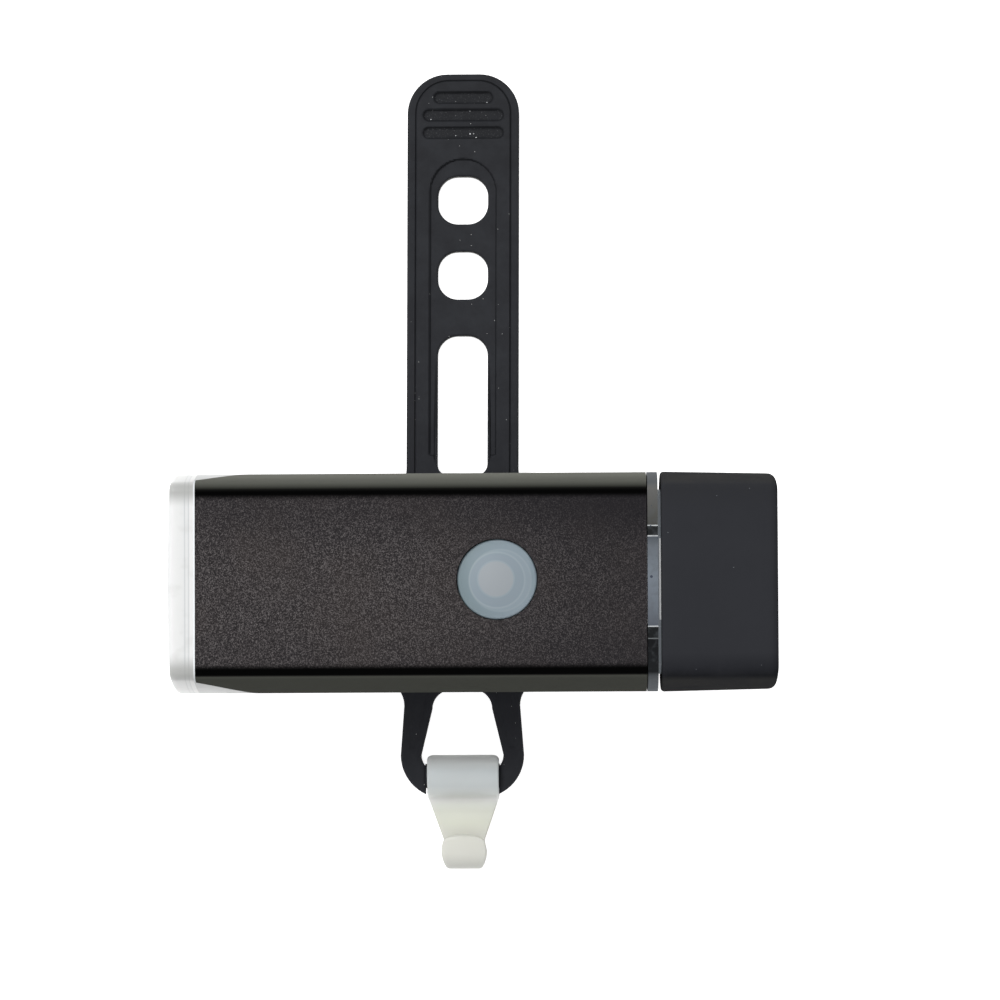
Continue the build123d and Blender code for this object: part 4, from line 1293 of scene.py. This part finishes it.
def distance_to_loops(points: np.ndarray, loops: list[np.ndarray]) -> np.ndarray:
    """Measure how far points lie from the nearest edge of a set of loops.

    The nearest place on an edge a..b is a + t (b - a), with t = (p - a)·(b - a) / |b - a|² kept from 0
    to 1.

    Args:
        points: Places in plan.
        loops: Closed outlines.

    Returns:
        The distances.
    """
    start = np.concatenate(loops)
    run = np.concatenate([np.roll(loop, -1, axis=0) for loop in loops]) - start
    square = np.maximum((run ** 2).sum(axis=1), 1e-12)
    nearest = np.empty(len(points))
    for part in np.array_split(np.arange(len(points)), max(1, len(points) // BLOCK)):
        away = points[part, None] - start
        share = np.clip((away * run).sum(axis=2) / square, 0, 1)
        nearest[part] = np.linalg.norm(away - share[..., None] * run, axis=2).min(axis=1)
    return nearest


def moulding(name: str, outline: Callable[[float], list[np.ndarray]],
             skins: Callable[[np.ndarray, np.ndarray], tuple[np.ndarray, np.ndarray]],
             edge: float, step: float, lines: tuple[np.ndarray, ...] = ()) -> bpy.types.Object:
    """Make a moulded piece from a plan and two skins over it.

    The plan is triangulated from its outlines, drawn in by the steps of the rounded edge, and a fine grid
    inside them. Each skin puts the plan's points in space, given how far the rounded edge drops there, and a
    wall joins the skins round the outlines.

    Args:
        name: The piece's name.
        outline: The plan's outlines at an inset.
        skins: The plan's points on the first and on the second skin.
        edge: The rounded edge's radius.
        step: The grid's spacing.
        lines: Closed lines inside the plan that the triangles keep to, along fine relief.

    Returns:
        The piece.
    """
    insets = edge * np.array(EDGE_STEPS)
    rings = [outline(inset) for inset in insets]
    loops = [loop for ring in rings for loop in ring]
    depth = np.concatenate([np.full(len(loop), inset) for inset, ring in zip(insets, rings) for loop in ring])
    loops += lines
    starts = np.cumsum([0] + [len(loop) for loop in loops])
    edges = [np.stack([start + np.arange(len(loop)), start + np.roll(np.arange(len(loop)), -1)], axis=-1)
             for start, loop in zip(starts, loops)]
    traced = np.concatenate(loops)
    low, high = traced.min(axis=0), traced.max(axis=0)
    across, along = np.arange(low[0], high[0], step), np.arange(low[1], high[1], step)
    grid = np.stack(np.meshgrid(across, along), axis=-1).reshape(-1, 2)
    keep = inside_loops(grid, rings[-1]) & (distance_to_loops(grid, [*rings[-1], *lines]) > step * 0.45)
    places = np.concatenate([traced, grid[keep]])
    made = delaunay_2d_cdt(places.tolist(), np.concatenate(edges).tolist(), [], 0, 1e-6)
    plan, faces = np.array(made[0]), np.array(made[2])
    faces = faces[inside_loops(plan[faces].mean(axis=1), rings[0])]
    inside = np.full(len(plan), edge)
    inside[:len(depth)] = depth
    first, second = skins(plan, edge_drop(inside, edge))
    rim = np.concatenate(edges[:len(rings[0])])
    walls = np.column_stack([rim, rim[:, ::-1] + len(plan)])
    halves = np.concatenate([walls[:, :3], walls[:, [0, 2, 3]]])
    skin = np.concatenate([faces, faces[:, ::-1] + len(plan), halves])
    return put_mesh(name, np.concatenate([first, second]) * MM, skin)


def on_circle(place: np.ndarray, first: tuple[float, float], middle: tuple[float, float],
              last: tuple[float, float]) -> np.ndarray:
    """Follow the circle through three points of a plane.

    The centre c solves 2 (b - a)·c = b·b - a·a and 2 (d - a)·c = d·d - a·a for the points a, b and d.
    At a place u along the first axis the circle lies at the centre's second coordinate plus or minus
    sqrt(r² - (u - centre's first coordinate)²), on the middle point's side.

    Args:
        place: Places along the first axis.
        first: The first point.
        middle: The middle point.
        last: The last point.

    Returns:
        The second coordinate at each place.
    """
    a, b, d = np.array([first, middle, last])
    centre = np.linalg.solve(2 * np.array([b - a, d - a]), np.array([b @ b - a @ a, d @ d - a @ a]))
    radius = np.linalg.norm(a - centre)
    reach = np.sqrt(np.maximum(radius ** 2 - (place - centre[0]) ** 2, 0))
    return centre[1] + np.sign(b[1] - centre[1]) * reach


@dataclass
class Strap:
    """The silicone strap: a long arm with holes and relief, a saddle pad, and a loop with a round bar."""

    middle: float = 3.0
    thickness: float = 2.4
    edge: float = 0.28
    grid_step: float = 0.2
    arm_half_width: float = 7.85
    arm_tip: float = 72.2
    tip_radius: float = 5.6
    tip_points: int = 14
    lean_root: float = 0.18
    lean_slope: float = 0.007
    border_width: float = 1.2
    border_tip_width: float = 0.95
    border_tip_radius: float = 4.6
    border_points: int = 24
    border_depth: float = 0.1
    groove_width: float = 0.1
    groove_depth: float = 0.24
    groove_lines: tuple[float, ...] = (-0.16, -0.05, 0.0, 0.05, 0.16)
    panel_width: float = 9.3
    panel_depth: float = 0.4
    panel_top: float = 60.2
    panel_bottom: float = 18.4
    panel_corner: float = 0.3
    hole_width: float = 7.0
    hole_height: float = 6.75
    hole_corner: float = 2.8
    hole_near: float = 43.8
    hole_pitch: float = 10.6
    slot_near: float = 15.7
    slot_far: float = 35.3
    slot_near_corner: float = 1.5
    grip_near: float = 63.9
    grip_pitch: float = 2.48
    grip_height: float = 1.75
    grip_depth: float = 0.5
    grip_slope: float = 0.42
    grip_lengths: tuple[float, ...] = (11.45, 11.45, 8.45)
    step_width: float = 0.2
    pad_half_length: float = 13.4
    pad_half_width: float = 13.0
    pad_top: float = 6.2
    pad_corner: float = 1.5
    pad_edge: float = 0.6
    pad_flare: float = 3.6
    pad_points: int = 192
    pad_shares: tuple[float, ...] = (0.35, 0.7, 0.9)
    foot_edge: tuple[tuple[float, float], ...] = ((0.0, 0.3), (0.08, 0.1), (0.25, 0.0))
    hub_step: float = 1.0
    ring_step: float = 1.2
    ring_thickness: float = 1.45
    pocket_radius: float = 6.5
    hub_radius: float = 7.0
    saddle_radius: float = 16.0
    saddle_rise: float = 2.8
    saddle_from: float = 0.04
    saddle_rings: int = 26
    loop_half_width: float = 8.62
    loop_root_half_width: float = 8.1
    loop_end: float = 29.55
    loop_corner: float = 6.0
    loop_bar_inner: float = 26.0
    opening_top: float = 14.4
    opening_crown: float = 2.7
    opening_root_half_width: float = 4.2
    opening_half_width: float = 5.75
    opening_corner: float = 2.5
    leg_strip_inset: float = 1.05
    leg_strip_end: float = 22.45
    leg_strip_depth: float = 0.1
    bar_y: float = 26.45
    bar_radius: float = 1.7
    bar_reach: float = 0.06
    bar_around: int = 48
    eye_room: float = 5.14
    overlap: float = 0.6

    @property
    def top(self) -> float:
        """The arm's upper face."""
        return self.middle + self.thickness / 2

    @property
    def bottom(self) -> float:
        """The arm's lower face."""
        return self.middle - self.thickness / 2

    def arm_outline(self, inset: float) -> np.ndarray:
        """Trace the arm in plan, with its flares beside the pad, drawn in by an inset.

        Args:
            inset: How far the outline is drawn in.

        Returns:
            The outline's points, in order.
        """
        half = self.arm_half_width
        root = self.pad_half_width
        flare = self.pad_flare
        corners = np.array([[half - inset, root + flare], [half - inset, self.arm_tip - inset],
                            [inset - half, self.arm_tip - inset], [inset - half, root + flare]])
        radii = np.array([SHARP, self.tip_radius - inset, self.tip_radius - inset, SHARP])
        tip = rounded_polygon(corners, radii, self.tip_points)[self.tip_points:-self.tip_points]
        right = arc((half + flare, root + flare), flare + inset, 270, 180, 12)
        left = (right * (-1, 1))[::-1]
        base = np.array([[-half - flare, root - self.overlap], [half + flare, root - self.overlap]])
        return np.concatenate([base, right, tip, left])

    def holes(self, inset: float) -> list[np.ndarray]:
        """Trace the two adjusting holes and the long slot, each grown by an inset.

        Args:
            inset: How far each opening is grown.

        Returns:
            One loop of points for each opening.
        """
        corner, half = self.hole_corner, self.hole_height / 2
        middles = (self.hole_near, self.hole_near + self.hole_pitch)
        loops = [self.window(y - half, y + half, corner, corner, inset) for y in middles]
        loops.append(self.window(self.slot_near, self.slot_far, self.slot_near_corner, corner, inset))
        return loops

    def window(self, low: float, high: float, near: float, far: float, inset: float) -> np.ndarray:
        """Trace one opening of the holes' width between two places along the arm.

        Args:
            low: The opening's end nearer the pad.
            high: Its end nearer the tip.
            near: The radius of the corners nearer the pad.
            far: The radius of the corners nearer the tip.
            inset: How far the opening is grown.

        Returns:
            The opening's points, in order.
        """
        half = self.hole_width / 2 + inset
        low, high = low - inset, high + inset
        corners = np.array([[-half, low], [half, low], [half, high], [-half, high]])
        return rounded_polygon(corners, np.array([near, near, far, far]) + inset)

    def border_line(self, aside: float) -> np.ndarray:
        """Trace the foot of the arm's border, grown by a little, and closed under the pad.

        Args:
            aside: How far the line is grown.

        Returns:
            The line's points, in order.
        """
        half = self.arm_half_width - self.border_width + aside
        tip = self.arm_tip - self.border_tip_width + aside
        root = self.pad_half_width - aside
        corners = np.array([[-half, root], [half, root], [half, tip], [-half, tip]])
        radii = np.array([SHARP, SHARP, self.border_tip_radius + aside, self.border_tip_radius + aside])
        return rounded_polygon(corners, radii, self.border_points)[self.border_points - 1:]

    def arm_relief(self, points: np.ndarray) -> np.ndarray:
        """Work out how far the arm's upper face lies below its top, at points in plan.

        It adds up the sunk border with the fine groove at its foot, the sunk panel, and the grip slots; each
        step is a smooth rise across its outline, measured by the distance to a rounded rectangle.

        Args:
            points: Places in plan.

        Returns:
            The drop at each place.
        """
        tip = self.arm_tip - self.border_tip_width
        field = round_box_distance(points, (0, 0), (self.arm_half_width - self.border_width, tip),
                                   self.border_tip_radius)
        drop = self.border_depth * step_up(field, self.step_width)
        drop += self.groove_depth * (1 - step_up(np.abs(field) - self.groove_width / 2, self.step_width))
        panel_half = self.panel_width / 2
        panel_middle = (self.panel_top + self.panel_bottom) / 2
        high = points[:, 1] > panel_middle
        panel = round_box_distance(points, (0, panel_middle),
                                   (panel_half, (self.panel_top - self.panel_bottom) / 2),
                                   np.where(high, panel_half, self.panel_corner))
        drop += self.panel_depth * step_up(-panel, self.step_width)
        for index, length in enumerate(self.grip_lengths):
            slot = round_box_distance(points, (0, self.grip_near + index * self.grip_pitch),
                                      (length / 2, self.grip_height / 2), self.grip_height / 2)
            drop += self.grip_depth * step_up(-slot - self.grip_slope / 4, self.grip_slope)
        return drop

    def loop_outline(self, inset: float) -> np.ndarray:
        """Trace the loop in plan: flared legs round the opening, down to the cut for the hook's eye.

        The cut meets a corner's circle, of radius r round x, at the angle whose cosine is (cut - x) / r.

        Args:
            inset: How far the outline is drawn in.

        Returns:
            The outline's points, in order.
        """
        pad, root = -self.pad_half_width, self.loop_root_half_width
        flare = arc((root + self.pad_flare, pad - self.pad_flare), self.pad_flare, 90, 180, 10)
        foot_x = self.loop_half_width - self.loop_corner
        cut = math.degrees(math.acos((self.eye_room - foot_x) / self.loop_corner))
        turn = arc((foot_x, self.loop_corner - self.loop_end), self.loop_corner, 0, -cut, 12)
        corner_x = self.opening_half_width - self.opening_corner
        inner_cut = math.degrees(math.acos((self.eye_room - corner_x) / self.opening_corner))
        inner = arc((corner_x, self.opening_corner - self.loop_bar_inner), self.opening_corner,
                    -inner_cut, 0, 8)
        round_top = self.opening_crown
        crown = arc((self.opening_root_half_width - round_top, -self.opening_top - round_top), round_top,
                    0, 90, 10)
        right = np.concatenate([[[root + self.pad_flare, pad + self.overlap]], flare, turn, inner, crown])
        return drawn_in(np.concatenate([right, (right * (-1, 1))[::-1]]), inset)

    def loop_relief(self, points: np.ndarray) -> np.ndarray:
        """Work out how far the sunk strip along each leg lies below its top.

        Args:
            points: Places in plan.

        Returns:
            The drop at each place.
        """
        x, y = np.abs(points[:, 0]), points[:, 1]
        crown_y = -self.opening_top - self.opening_crown
        inner_slope = (self.opening_half_width - self.opening_root_half_width) / (
            self.loop_bar_inner - self.opening_corner + crown_y)
        inner = self.opening_root_half_width + inner_slope * (crown_y - y) + self.leg_strip_inset
        root_y = -self.pad_half_width - self.pad_flare
        outer_slope = (self.loop_half_width - self.loop_root_half_width) / (
            self.loop_end - self.loop_corner + root_y)
        outer = self.loop_root_half_width + outer_slope * (root_y - y) - self.leg_strip_inset
        strip = np.minimum(np.minimum(x - inner, outer - x), y + self.leg_strip_end)
        return self.leg_strip_depth * step_up(strip, self.step_width)

    def arm(self) -> bpy.types.Object:
        """Make the long arm, which leans a little to the cap's side.

        It moves along X by the root's lean plus the slope times the distance past the slot's near end.

        Returns:
            The piece.
        """
        def skins(plan: np.ndarray, drop: np.ndarray) -> tuple[np.ndarray, np.ndarray]:
            """Put the arm's plan on its two faces."""
            leant = plan + np.outer(self.lean_root + self.lean_slope * (plan[:, 1] - self.slot_near), (1, 0))
            return (np.column_stack([leant, self.top - drop - self.arm_relief(plan)]),
                    np.column_stack([leant, self.bottom + drop]))
        groove = tuple(self.border_line(aside) for aside in self.groove_lines)
        return moulding("strap_arm", lambda inset: [self.arm_outline(inset), *self.holes(inset)], skins,
                        self.edge, self.grid_step, groove)

    def loop(self) -> bpy.types.Object:
        """Make the loop.

        Returns:
            The piece.
        """
        def skins(plan: np.ndarray, drop: np.ndarray) -> tuple[np.ndarray, np.ndarray]:
            """Put the loop's plan on its two faces."""
            return (np.column_stack([plan, self.top - drop - self.loop_relief(plan)]),
                    np.column_stack([plan, self.bottom + drop]))
        return moulding("strap_loop", lambda inset: [self.loop_outline(inset)], skins, self.edge,
                        self.grid_step)

    def pad(self) -> bpy.types.Object:
        """Make the saddle pad.

        Its rings run from the hub's hole over the top, down the walls, in under the saddle, and up the
        pocket. A ring is a blend of a circle and the pad's rounded rectangle. Under the pad the height is
        that of the handlebar's cylinder where this is above 0: rise - R + sqrt(R² - y²).

        Returns:
            The piece.
        """
        half = np.array([self.pad_half_length, self.pad_half_width])

        def plan(inset: float) -> np.ndarray:
            """Trace the pad's outline, evenly along its length."""
            corners = (half - inset) * np.array([[1, -1], [1, 1], [-1, 1], [-1, -1]])
            rounded = rounded_polygon(corners, np.full(4, self.pad_corner - inset), 8)
            return evenly(rounded, self.pad_points)

        def ring(place: np.ndarray, height: np.ndarray | float) -> np.ndarray:
            """Put a plan at a height."""
            return np.column_stack([place, np.broadcast_to(height, len(place))])

        def saddle(place: np.ndarray) -> np.ndarray:
            """Work out the height of the underside."""
            rise = self.saddle_rise - self.saddle_radius
            return np.maximum(rise + np.sqrt(self.saddle_radius ** 2 - place[:, 1] ** 2), 0)

        outer = plan(0.0)
        angle = np.arctan2(outer[:, 1], outer[:, 0])
        circle = np.stack([np.cos(angle), np.sin(angle)], axis=-1)
        hub, pocket = circle * self.hub_radius, circle * self.pocket_radius
        rings = [ring(hub, self.pad_top - self.hub_step), ring(hub, self.pad_top)]
        rings += [ring(hub + (plan(self.pad_edge) - hub) * share, self.pad_top) for share in self.pad_shares]
        rounded = arc((self.pad_edge, self.pad_top - self.pad_edge), self.pad_edge, 90, 180, 7)
        rings += [ring(plan(inset), height) for inset, height in rounded]
        rings += [ring(plan(inset), saddle(plan(inset)) + rise) for inset, rise in self.foot_edge]
        foot = plan(self.foot_edge[-1][0])
        shares = np.linspace(self.saddle_from, 1.0, self.saddle_rings)
        under = [foot + (pocket - foot) * share for share in shares]
        rings += [ring(place, saddle(place)) for place in under]
        rings.append(ring(pocket, self.pad_top - self.ring_thickness))
        rings.append(ring(hub, self.pad_top - self.ring_step))
        return surface("strap_pad", np.stack(rings), wrap_rows=True)

    def bar(self) -> bpy.types.Object:
        """Make the loop's round bar, which ends just inside the cuts of the legs.

        Returns:
            The piece.
        """
        along = np.array([-1, -1, -0.5, 0.5, 1, 1]) * (self.eye_room + self.bar_reach)
        radius = self.bar_radius * np.array([0, 1, 1, 1, 1, 0])[:, None]
        angle = np.linspace(0, 2 * math.pi, self.bar_around, endpoint=False)
        grid = np.stack([np.broadcast_to(along[:, None], (len(along), len(angle))),
                         -self.bar_y + radius * np.cos(angle), self.middle + radius * np.sin(angle)], axis=-1)
        return surface("strap_bar", grid)

    def build(self, materials: Materials) -> None:
        """Make the arm, the loop, the pad and the bar, which stand together for the strap.

        Args:
            materials: The finished materials.
        """
        first, *rest = (self.arm(), self.loop(), self.pad(), self.bar())
        finish_piece(first, Body.STRAP, Slot.STRAP, materials, "strap")
        for piece in rest:
            finish_piece(piece, Body.STRAP, Slot.STRAP, materials)


@dataclass
class Hook:
    """The milky hook: an eye round the strap's bar, a tapering plate and a tab folded back over its end."""

    bar_y: float
    bar_z: float
    bore: float = 1.85
    eye: float = 2.95
    width: float = 10.0
    corner: float = 0.7
    blend: float = 2.6
    plate: float = 1.5
    end: float = 39.45
    neck_half_width: float = 2.9
    neck_y: float = 35.35
    waist: float = 1.2
    waist_rise: float = 0.4
    gap: float = 2.2
    tab_length: float = 4.85
    tab_half_width: float = 3.15
    tab_shoulder: float = 2.85
    tab_tip_rise: float = 0.75
    tab_belly: float = 2.3
    tab_foot: float = 2.4
    tip_edge: float = 0.5
    edge: float = 0.32
    fold_rise: float = 0.6
    fold_run: float = 1.0
    fold_margin: float = 0.4
    least_half_width: float = 0.02
    shift: float = 0.08
    lean: float = 0.01
    outline_points: int = 280
    grid_step: float = 0.24

    @property
    def low(self) -> float:
        """The plate's lower face."""
        return self.bar_z - self.eye

    @property
    def fold_outer(self) -> float:
        """The fold's outer radius."""
        return self.plate + self.gap / 2

    def outline(self, inset: float) -> list[np.ndarray]:
        """Trace the hook from its side, as (y, z), and the eye's bore.

        The blend between the eye and the plate is an arc whose centre stands its radius over the plate, and
        both radii together from the bar.

        Args:
            inset: How far the outlines are drawn into the hook.

        Returns:
            The outer loop and the bore.
        """
        top = self.low + self.plate
        rise = top + self.blend - self.bar_z
        blend_y = -self.bar_y - math.sqrt((self.eye + self.blend) ** 2 - rise ** 2)
        touch = math.degrees(math.atan2(rise, blend_y + self.bar_y))
        fold = (self.fold_outer - self.end, self.low + self.fold_outer)
        tab_top = self.low + 2 * self.fold_outer
        tip_y = self.tab_length - self.end - self.tip_edge
        loop = np.concatenate([
            arc((-self.bar_y, self.bar_z), self.eye, -90, touch, 60),
            arc((blend_y, top + self.blend), self.blend, touch - 180, -90, 24),
            arc(fold, self.gap / 2, -90, -270, 20),
            arc((tip_y, tab_top - self.plate + self.tip_edge), self.tip_edge, -90, 0, 6),
            arc((tip_y, tab_top - self.tip_edge), self.tip_edge, 0, 90, 6),
            arc(fold, self.fold_outer, 90, 270, 40),
        ])
        bore = arc((-self.bar_y, self.bar_z), self.bore + inset, 0, 360, 61)[:-1]
        return [drawn_in(evenly(loop, self.outline_points), inset), bore]

    def half_width(self, places: np.ndarray) -> np.ndarray:
        """Work out half the hook's width at places seen from the side.

        The eye has full width and rounded corners. The plate narrows to its neck along a circle. The tab is
        bellied along another circle and ends in a low arc, of radius (s² + h²) / (2 h) for a half chord s
        and a rise h. The fold turns smoothly from the plate's width to the tab's.

        Args:
            places: Places as (y, z).

        Returns:
            Half the width at each place.
        """
        y, z = places.T
        past = np.clip(y - (self.eye - self.bar_y - self.corner), 0, self.corner)
        full = self.width / 2 - self.corner + np.sqrt(self.corner ** 2 - past ** 2)
        start, neck = -self.bar_y - self.eye, -self.neck_y
        curve = on_circle(y, (start, self.width / 2),
                          ((start + neck) / 2 + self.waist_rise, self.neck_half_width + self.waist),
                          (neck, self.neck_half_width))
        plate = np.where(y > start, full, np.where(y < neck, self.neck_half_width, curve))
        tip = self.tab_length - self.end
        shoulder = tip - self.tab_tip_rise
        belly = on_circle(y, (shoulder, self.tab_shoulder), (self.tab_belly - self.end, self.tab_half_width),
                          (-self.end, self.tab_foot))
        crown = (self.tab_shoulder ** 2 + self.tab_tip_rise ** 2) / (2 * self.tab_tip_rise)
        low_arc = np.sqrt(np.maximum(crown ** 2 - (y - tip + crown) ** 2, 0))
        tab = np.where(y > shoulder, low_arc, belly)
        over = step_up(z - self.low - self.fold_outer, self.fold_rise)
        beyond = step_up(self.fold_outer - self.end + self.fold_margin - y, self.fold_run)
        share = np.where(y > start - 1, 0, np.maximum(over, beyond))
        return plate + (tab - plate) * share

    def build(self, materials: Materials) -> None:
        """Make the hook between its two sides, half a width to the left and right of its leaning middle.

        Args:
            materials: The finished materials.
        """
        def skins(plan: np.ndarray, drop: np.ndarray) -> tuple[np.ndarray, np.ndarray]:
            """Put the side view's places on the hook's two sides."""
            half = np.maximum(self.half_width(plan) - drop, self.least_half_width)
            middle = self.shift + self.lean * np.maximum(-self.bar_y - plan[:, 0], 0)
            return np.column_stack([middle + half, plan]), np.column_stack([middle - half, plan])
        piece = moulding("hook_body", self.outline, skins, self.edge, self.grid_step)
        finish_piece(piece, Body.HOOK, Slot.HOOK, materials, "strap_hook")


@dataclass
class Studio:
    """A pale floor, a soft studio and the camera over it. Lengths are in millimetres, angles in degrees.

    Each of the sky's pairs is a height, from 0 at the horizon to 1 overhead, and its brightness.
    """

    floor_size: float = 2400.0
    floor_drop: float = 0.02
    floor_tone: Colour = (243, 243, 243)
    floor_fleck: Colour = (247, 247, 247)
    floor_grain: float = 1.5
    floor_glow: float = 0.85
    backdrop_glow: float = 1.0
    sky_glow: float = 1.3
    sky: tuple[tuple[float, float], ...] = ((0.0, 0.45), (0.3, 0.45), (0.42, 0.06), (0.72, 0.06),
                                            (0.86, 1.0), (1.0, 1.0))
    camera_place: tuple[float, float, float] = (19.24, -26.14, 764.0)
    camera_aim: tuple[float, float, float] = (5.73, 11.34, 20.06)
    camera_roll: float = -0.274
    sensor: float = 36.0
    focal_length: float = 195.43
    clip: tuple[float, float] = (50.0, 10000.0)
    lamp_size: float = 420.0
    lamp_place: tuple[float, float, float] = (-420.0, 420.0, 900.0)
    lamp_power: float = 5.5

    def floor(self) -> None:
        """Lay the floor a hair under the feet: pale paper that the camera and shiny things see as white."""
        half = self.floor_size / 2
        flat = half * np.array([[-1, -1], [1, -1], [1, 1], [-1, 1]])
        corners = np.column_stack([flat, np.full(4, -self.floor_drop)])
        piece = put_mesh("floor", corners * MM, np.array([[0, 1, 2, 3]]))
        graph = Graph("floor_paper")
        tree = graph.tree
        graph.shader.inputs["Roughness"].default_value = 0.9
        graph.shader.inputs["Specular IOR Level"].default_value = 0.1
        grain = graph.mix(graph.noise(self.floor_grain), linear(*self.floor_tone), linear(*self.floor_fleck))
        graph.join(grain, graph.shader.inputs["Base Color"])
        glow = graph.node("ShaderNodeEmission")
        glow.inputs["Strength"].default_value = self.floor_glow
        both = graph.node("ShaderNodeAddShader")
        tree.links.new(graph.shader.outputs["BSDF"], both.inputs[0])
        tree.links.new(glow.outputs["Emission"], both.inputs[1])
        choice = graph.node("ShaderNodeMixShader")
        graph.join(self.seen(graph.tree), choice.inputs[0])
        tree.links.new(graph.shader.outputs["BSDF"], choice.inputs[1])
        tree.links.new(both.outputs["Shader"], choice.inputs[2])
        tree.links.new(choice.outputs["Shader"], graph.output.inputs["Surface"])
        piece.data.materials.append(graph.material)

    @staticmethod
    def seen(tree: bpy.types.NodeTree) -> bpy.types.NodeSocket:
        """Make a socket that is 1 for rays from the camera, from gloss and through clear things.

        Args:
            tree: The node tree that the socket is made in.

        Returns:
            The new socket.
        """
        path = tree.nodes.new("ShaderNodeLightPath")
        total = path.outputs["Is Camera Ray"]
        for name in ("Is Glossy Ray", "Is Transmission Ray"):
            larger = tree.nodes.new("ShaderNodeMath")
            larger.operation = "MAXIMUM"
            tree.links.new(total, larger.inputs[0])
            tree.links.new(path.outputs[name], larger.inputs[1])
            total = larger.outputs[0]
        return total

    def world(self) -> None:
        """Light the studio: white where it is seen, and a soft sky, brightest overhead, for all else."""
        world = bpy.data.worlds.new("studio")
        world.use_nodes = True
        tree = world.node_tree
        tree.nodes.clear()
        place = tree.nodes.new("ShaderNodeTexCoord")
        parts = tree.nodes.new("ShaderNodeSeparateXYZ")
        tree.links.new(place.outputs["Generated"], parts.inputs[0])
        ramp = tree.nodes.new("ShaderNodeValToRGB")
        tree.links.new(parts.outputs["Z"], ramp.inputs["Fac"])
        set_stops(ramp.color_ramp, [(height, (value, value, value, 1.0)) for height, value in self.sky])
        light = tree.nodes.new("ShaderNodeBackground")
        light.inputs["Strength"].default_value = self.sky_glow
        tree.links.new(ramp.outputs["Color"], light.inputs["Color"])
        backdrop = tree.nodes.new("ShaderNodeBackground")
        backdrop.inputs["Strength"].default_value = self.backdrop_glow
        backdrop.inputs["Color"].default_value = (1, 1, 1, 1)
        choice = tree.nodes.new("ShaderNodeMixShader")
        tree.links.new(self.seen(tree), choice.inputs[0])
        tree.links.new(light.outputs["Background"], choice.inputs[1])
        tree.links.new(backdrop.outputs["Background"], choice.inputs[2])
        output = tree.nodes.new("ShaderNodeOutputWorld")
        tree.links.new(choice.outputs["Shader"], output.inputs["Surface"])
        bpy.context.scene.world = world

    def lamp(self) -> None:
        """Hang one broad soft lamp to the upper left, which gives the recesses their shaded side."""
        data = bpy.data.lights.new("soft_lamp", "AREA")
        data.energy = self.lamp_power
        data.size = self.lamp_size * MM
        lamp = bpy.data.objects.new("soft_lamp", data)
        bpy.context.scene.collection.objects.link(lamp)
        lamp.location = Vector(self.lamp_place) * MM
        lamp.rotation_euler = (-Vector(self.lamp_place)).to_track_quat("-Z", "Y").to_euler()

    def camera(self) -> None:
        """Set the camera over the light as in the photograph.

        It looks from its place to its aim; its right is +Y crossed with the backward direction, then both
        right and up turn by the roll.
        """
        place, aim = Vector(self.camera_place), Vector(self.camera_aim)
        back = (place - aim).normalized()
        level = Vector((0, 1, 0)).cross(back).normalized()
        upright = back.cross(level)
        turn = math.radians(self.camera_roll)
        right = level * math.cos(turn) + upright * math.sin(turn)
        up = upright * math.cos(turn) - level * math.sin(turn)
        data = bpy.data.cameras.new("camera")
        data.sensor_width = self.sensor
        data.lens = self.focal_length
        data.clip_start, data.clip_end = (length * MM for length in self.clip)
        camera = bpy.data.objects.new("camera", data)
        bpy.context.scene.collection.objects.link(camera)
        axes = Matrix((right, up, back)).transposed().to_4x4()
        camera.matrix_world = Matrix.Translation(place * MM) @ axes
        bpy.context.scene.camera = camera

    def build(self) -> None:
        """Set the whole studio up."""
        bpy.context.scene.view_settings.view_transform = "Standard"
        self.floor()
        self.world()
        self.lamp()
        self.camera()


def dress_nodes(materials: Materials) -> None:
    """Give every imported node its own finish, or that of its material slot.

    Args:
        materials: The finished materials.
    """
    own = {name: finish.build() for name, finish in NODE_FINISHES.items()}
    for part in frame["record"]["subparts"]:
        node = frame["nodes"][part["node"]]
        node.data.materials.clear()
        node.data.materials.append(own.get(part["node"], materials[Slot(part["material_slot"])]))
        log.info("%s: %s", part["node"], part["material_slot"])


def main() -> None:
    """Set up the studio, make the finishes and build the pieces in order."""
    logging.basicConfig(level=logging.INFO, format="%(message)s")
    Studio().build()
    materials = {slot: finish.build() for slot, finish in FINISHES.items()}
    dress_nodes(materials)
    section = Section()
    Button().build(materials)
    Cap(section).build(materials)
    strap = Strap()
    strap.build(materials)
    Hook(strap.bar_y, strap.middle).build(materials)


if __name__ == "__main__":
    main()
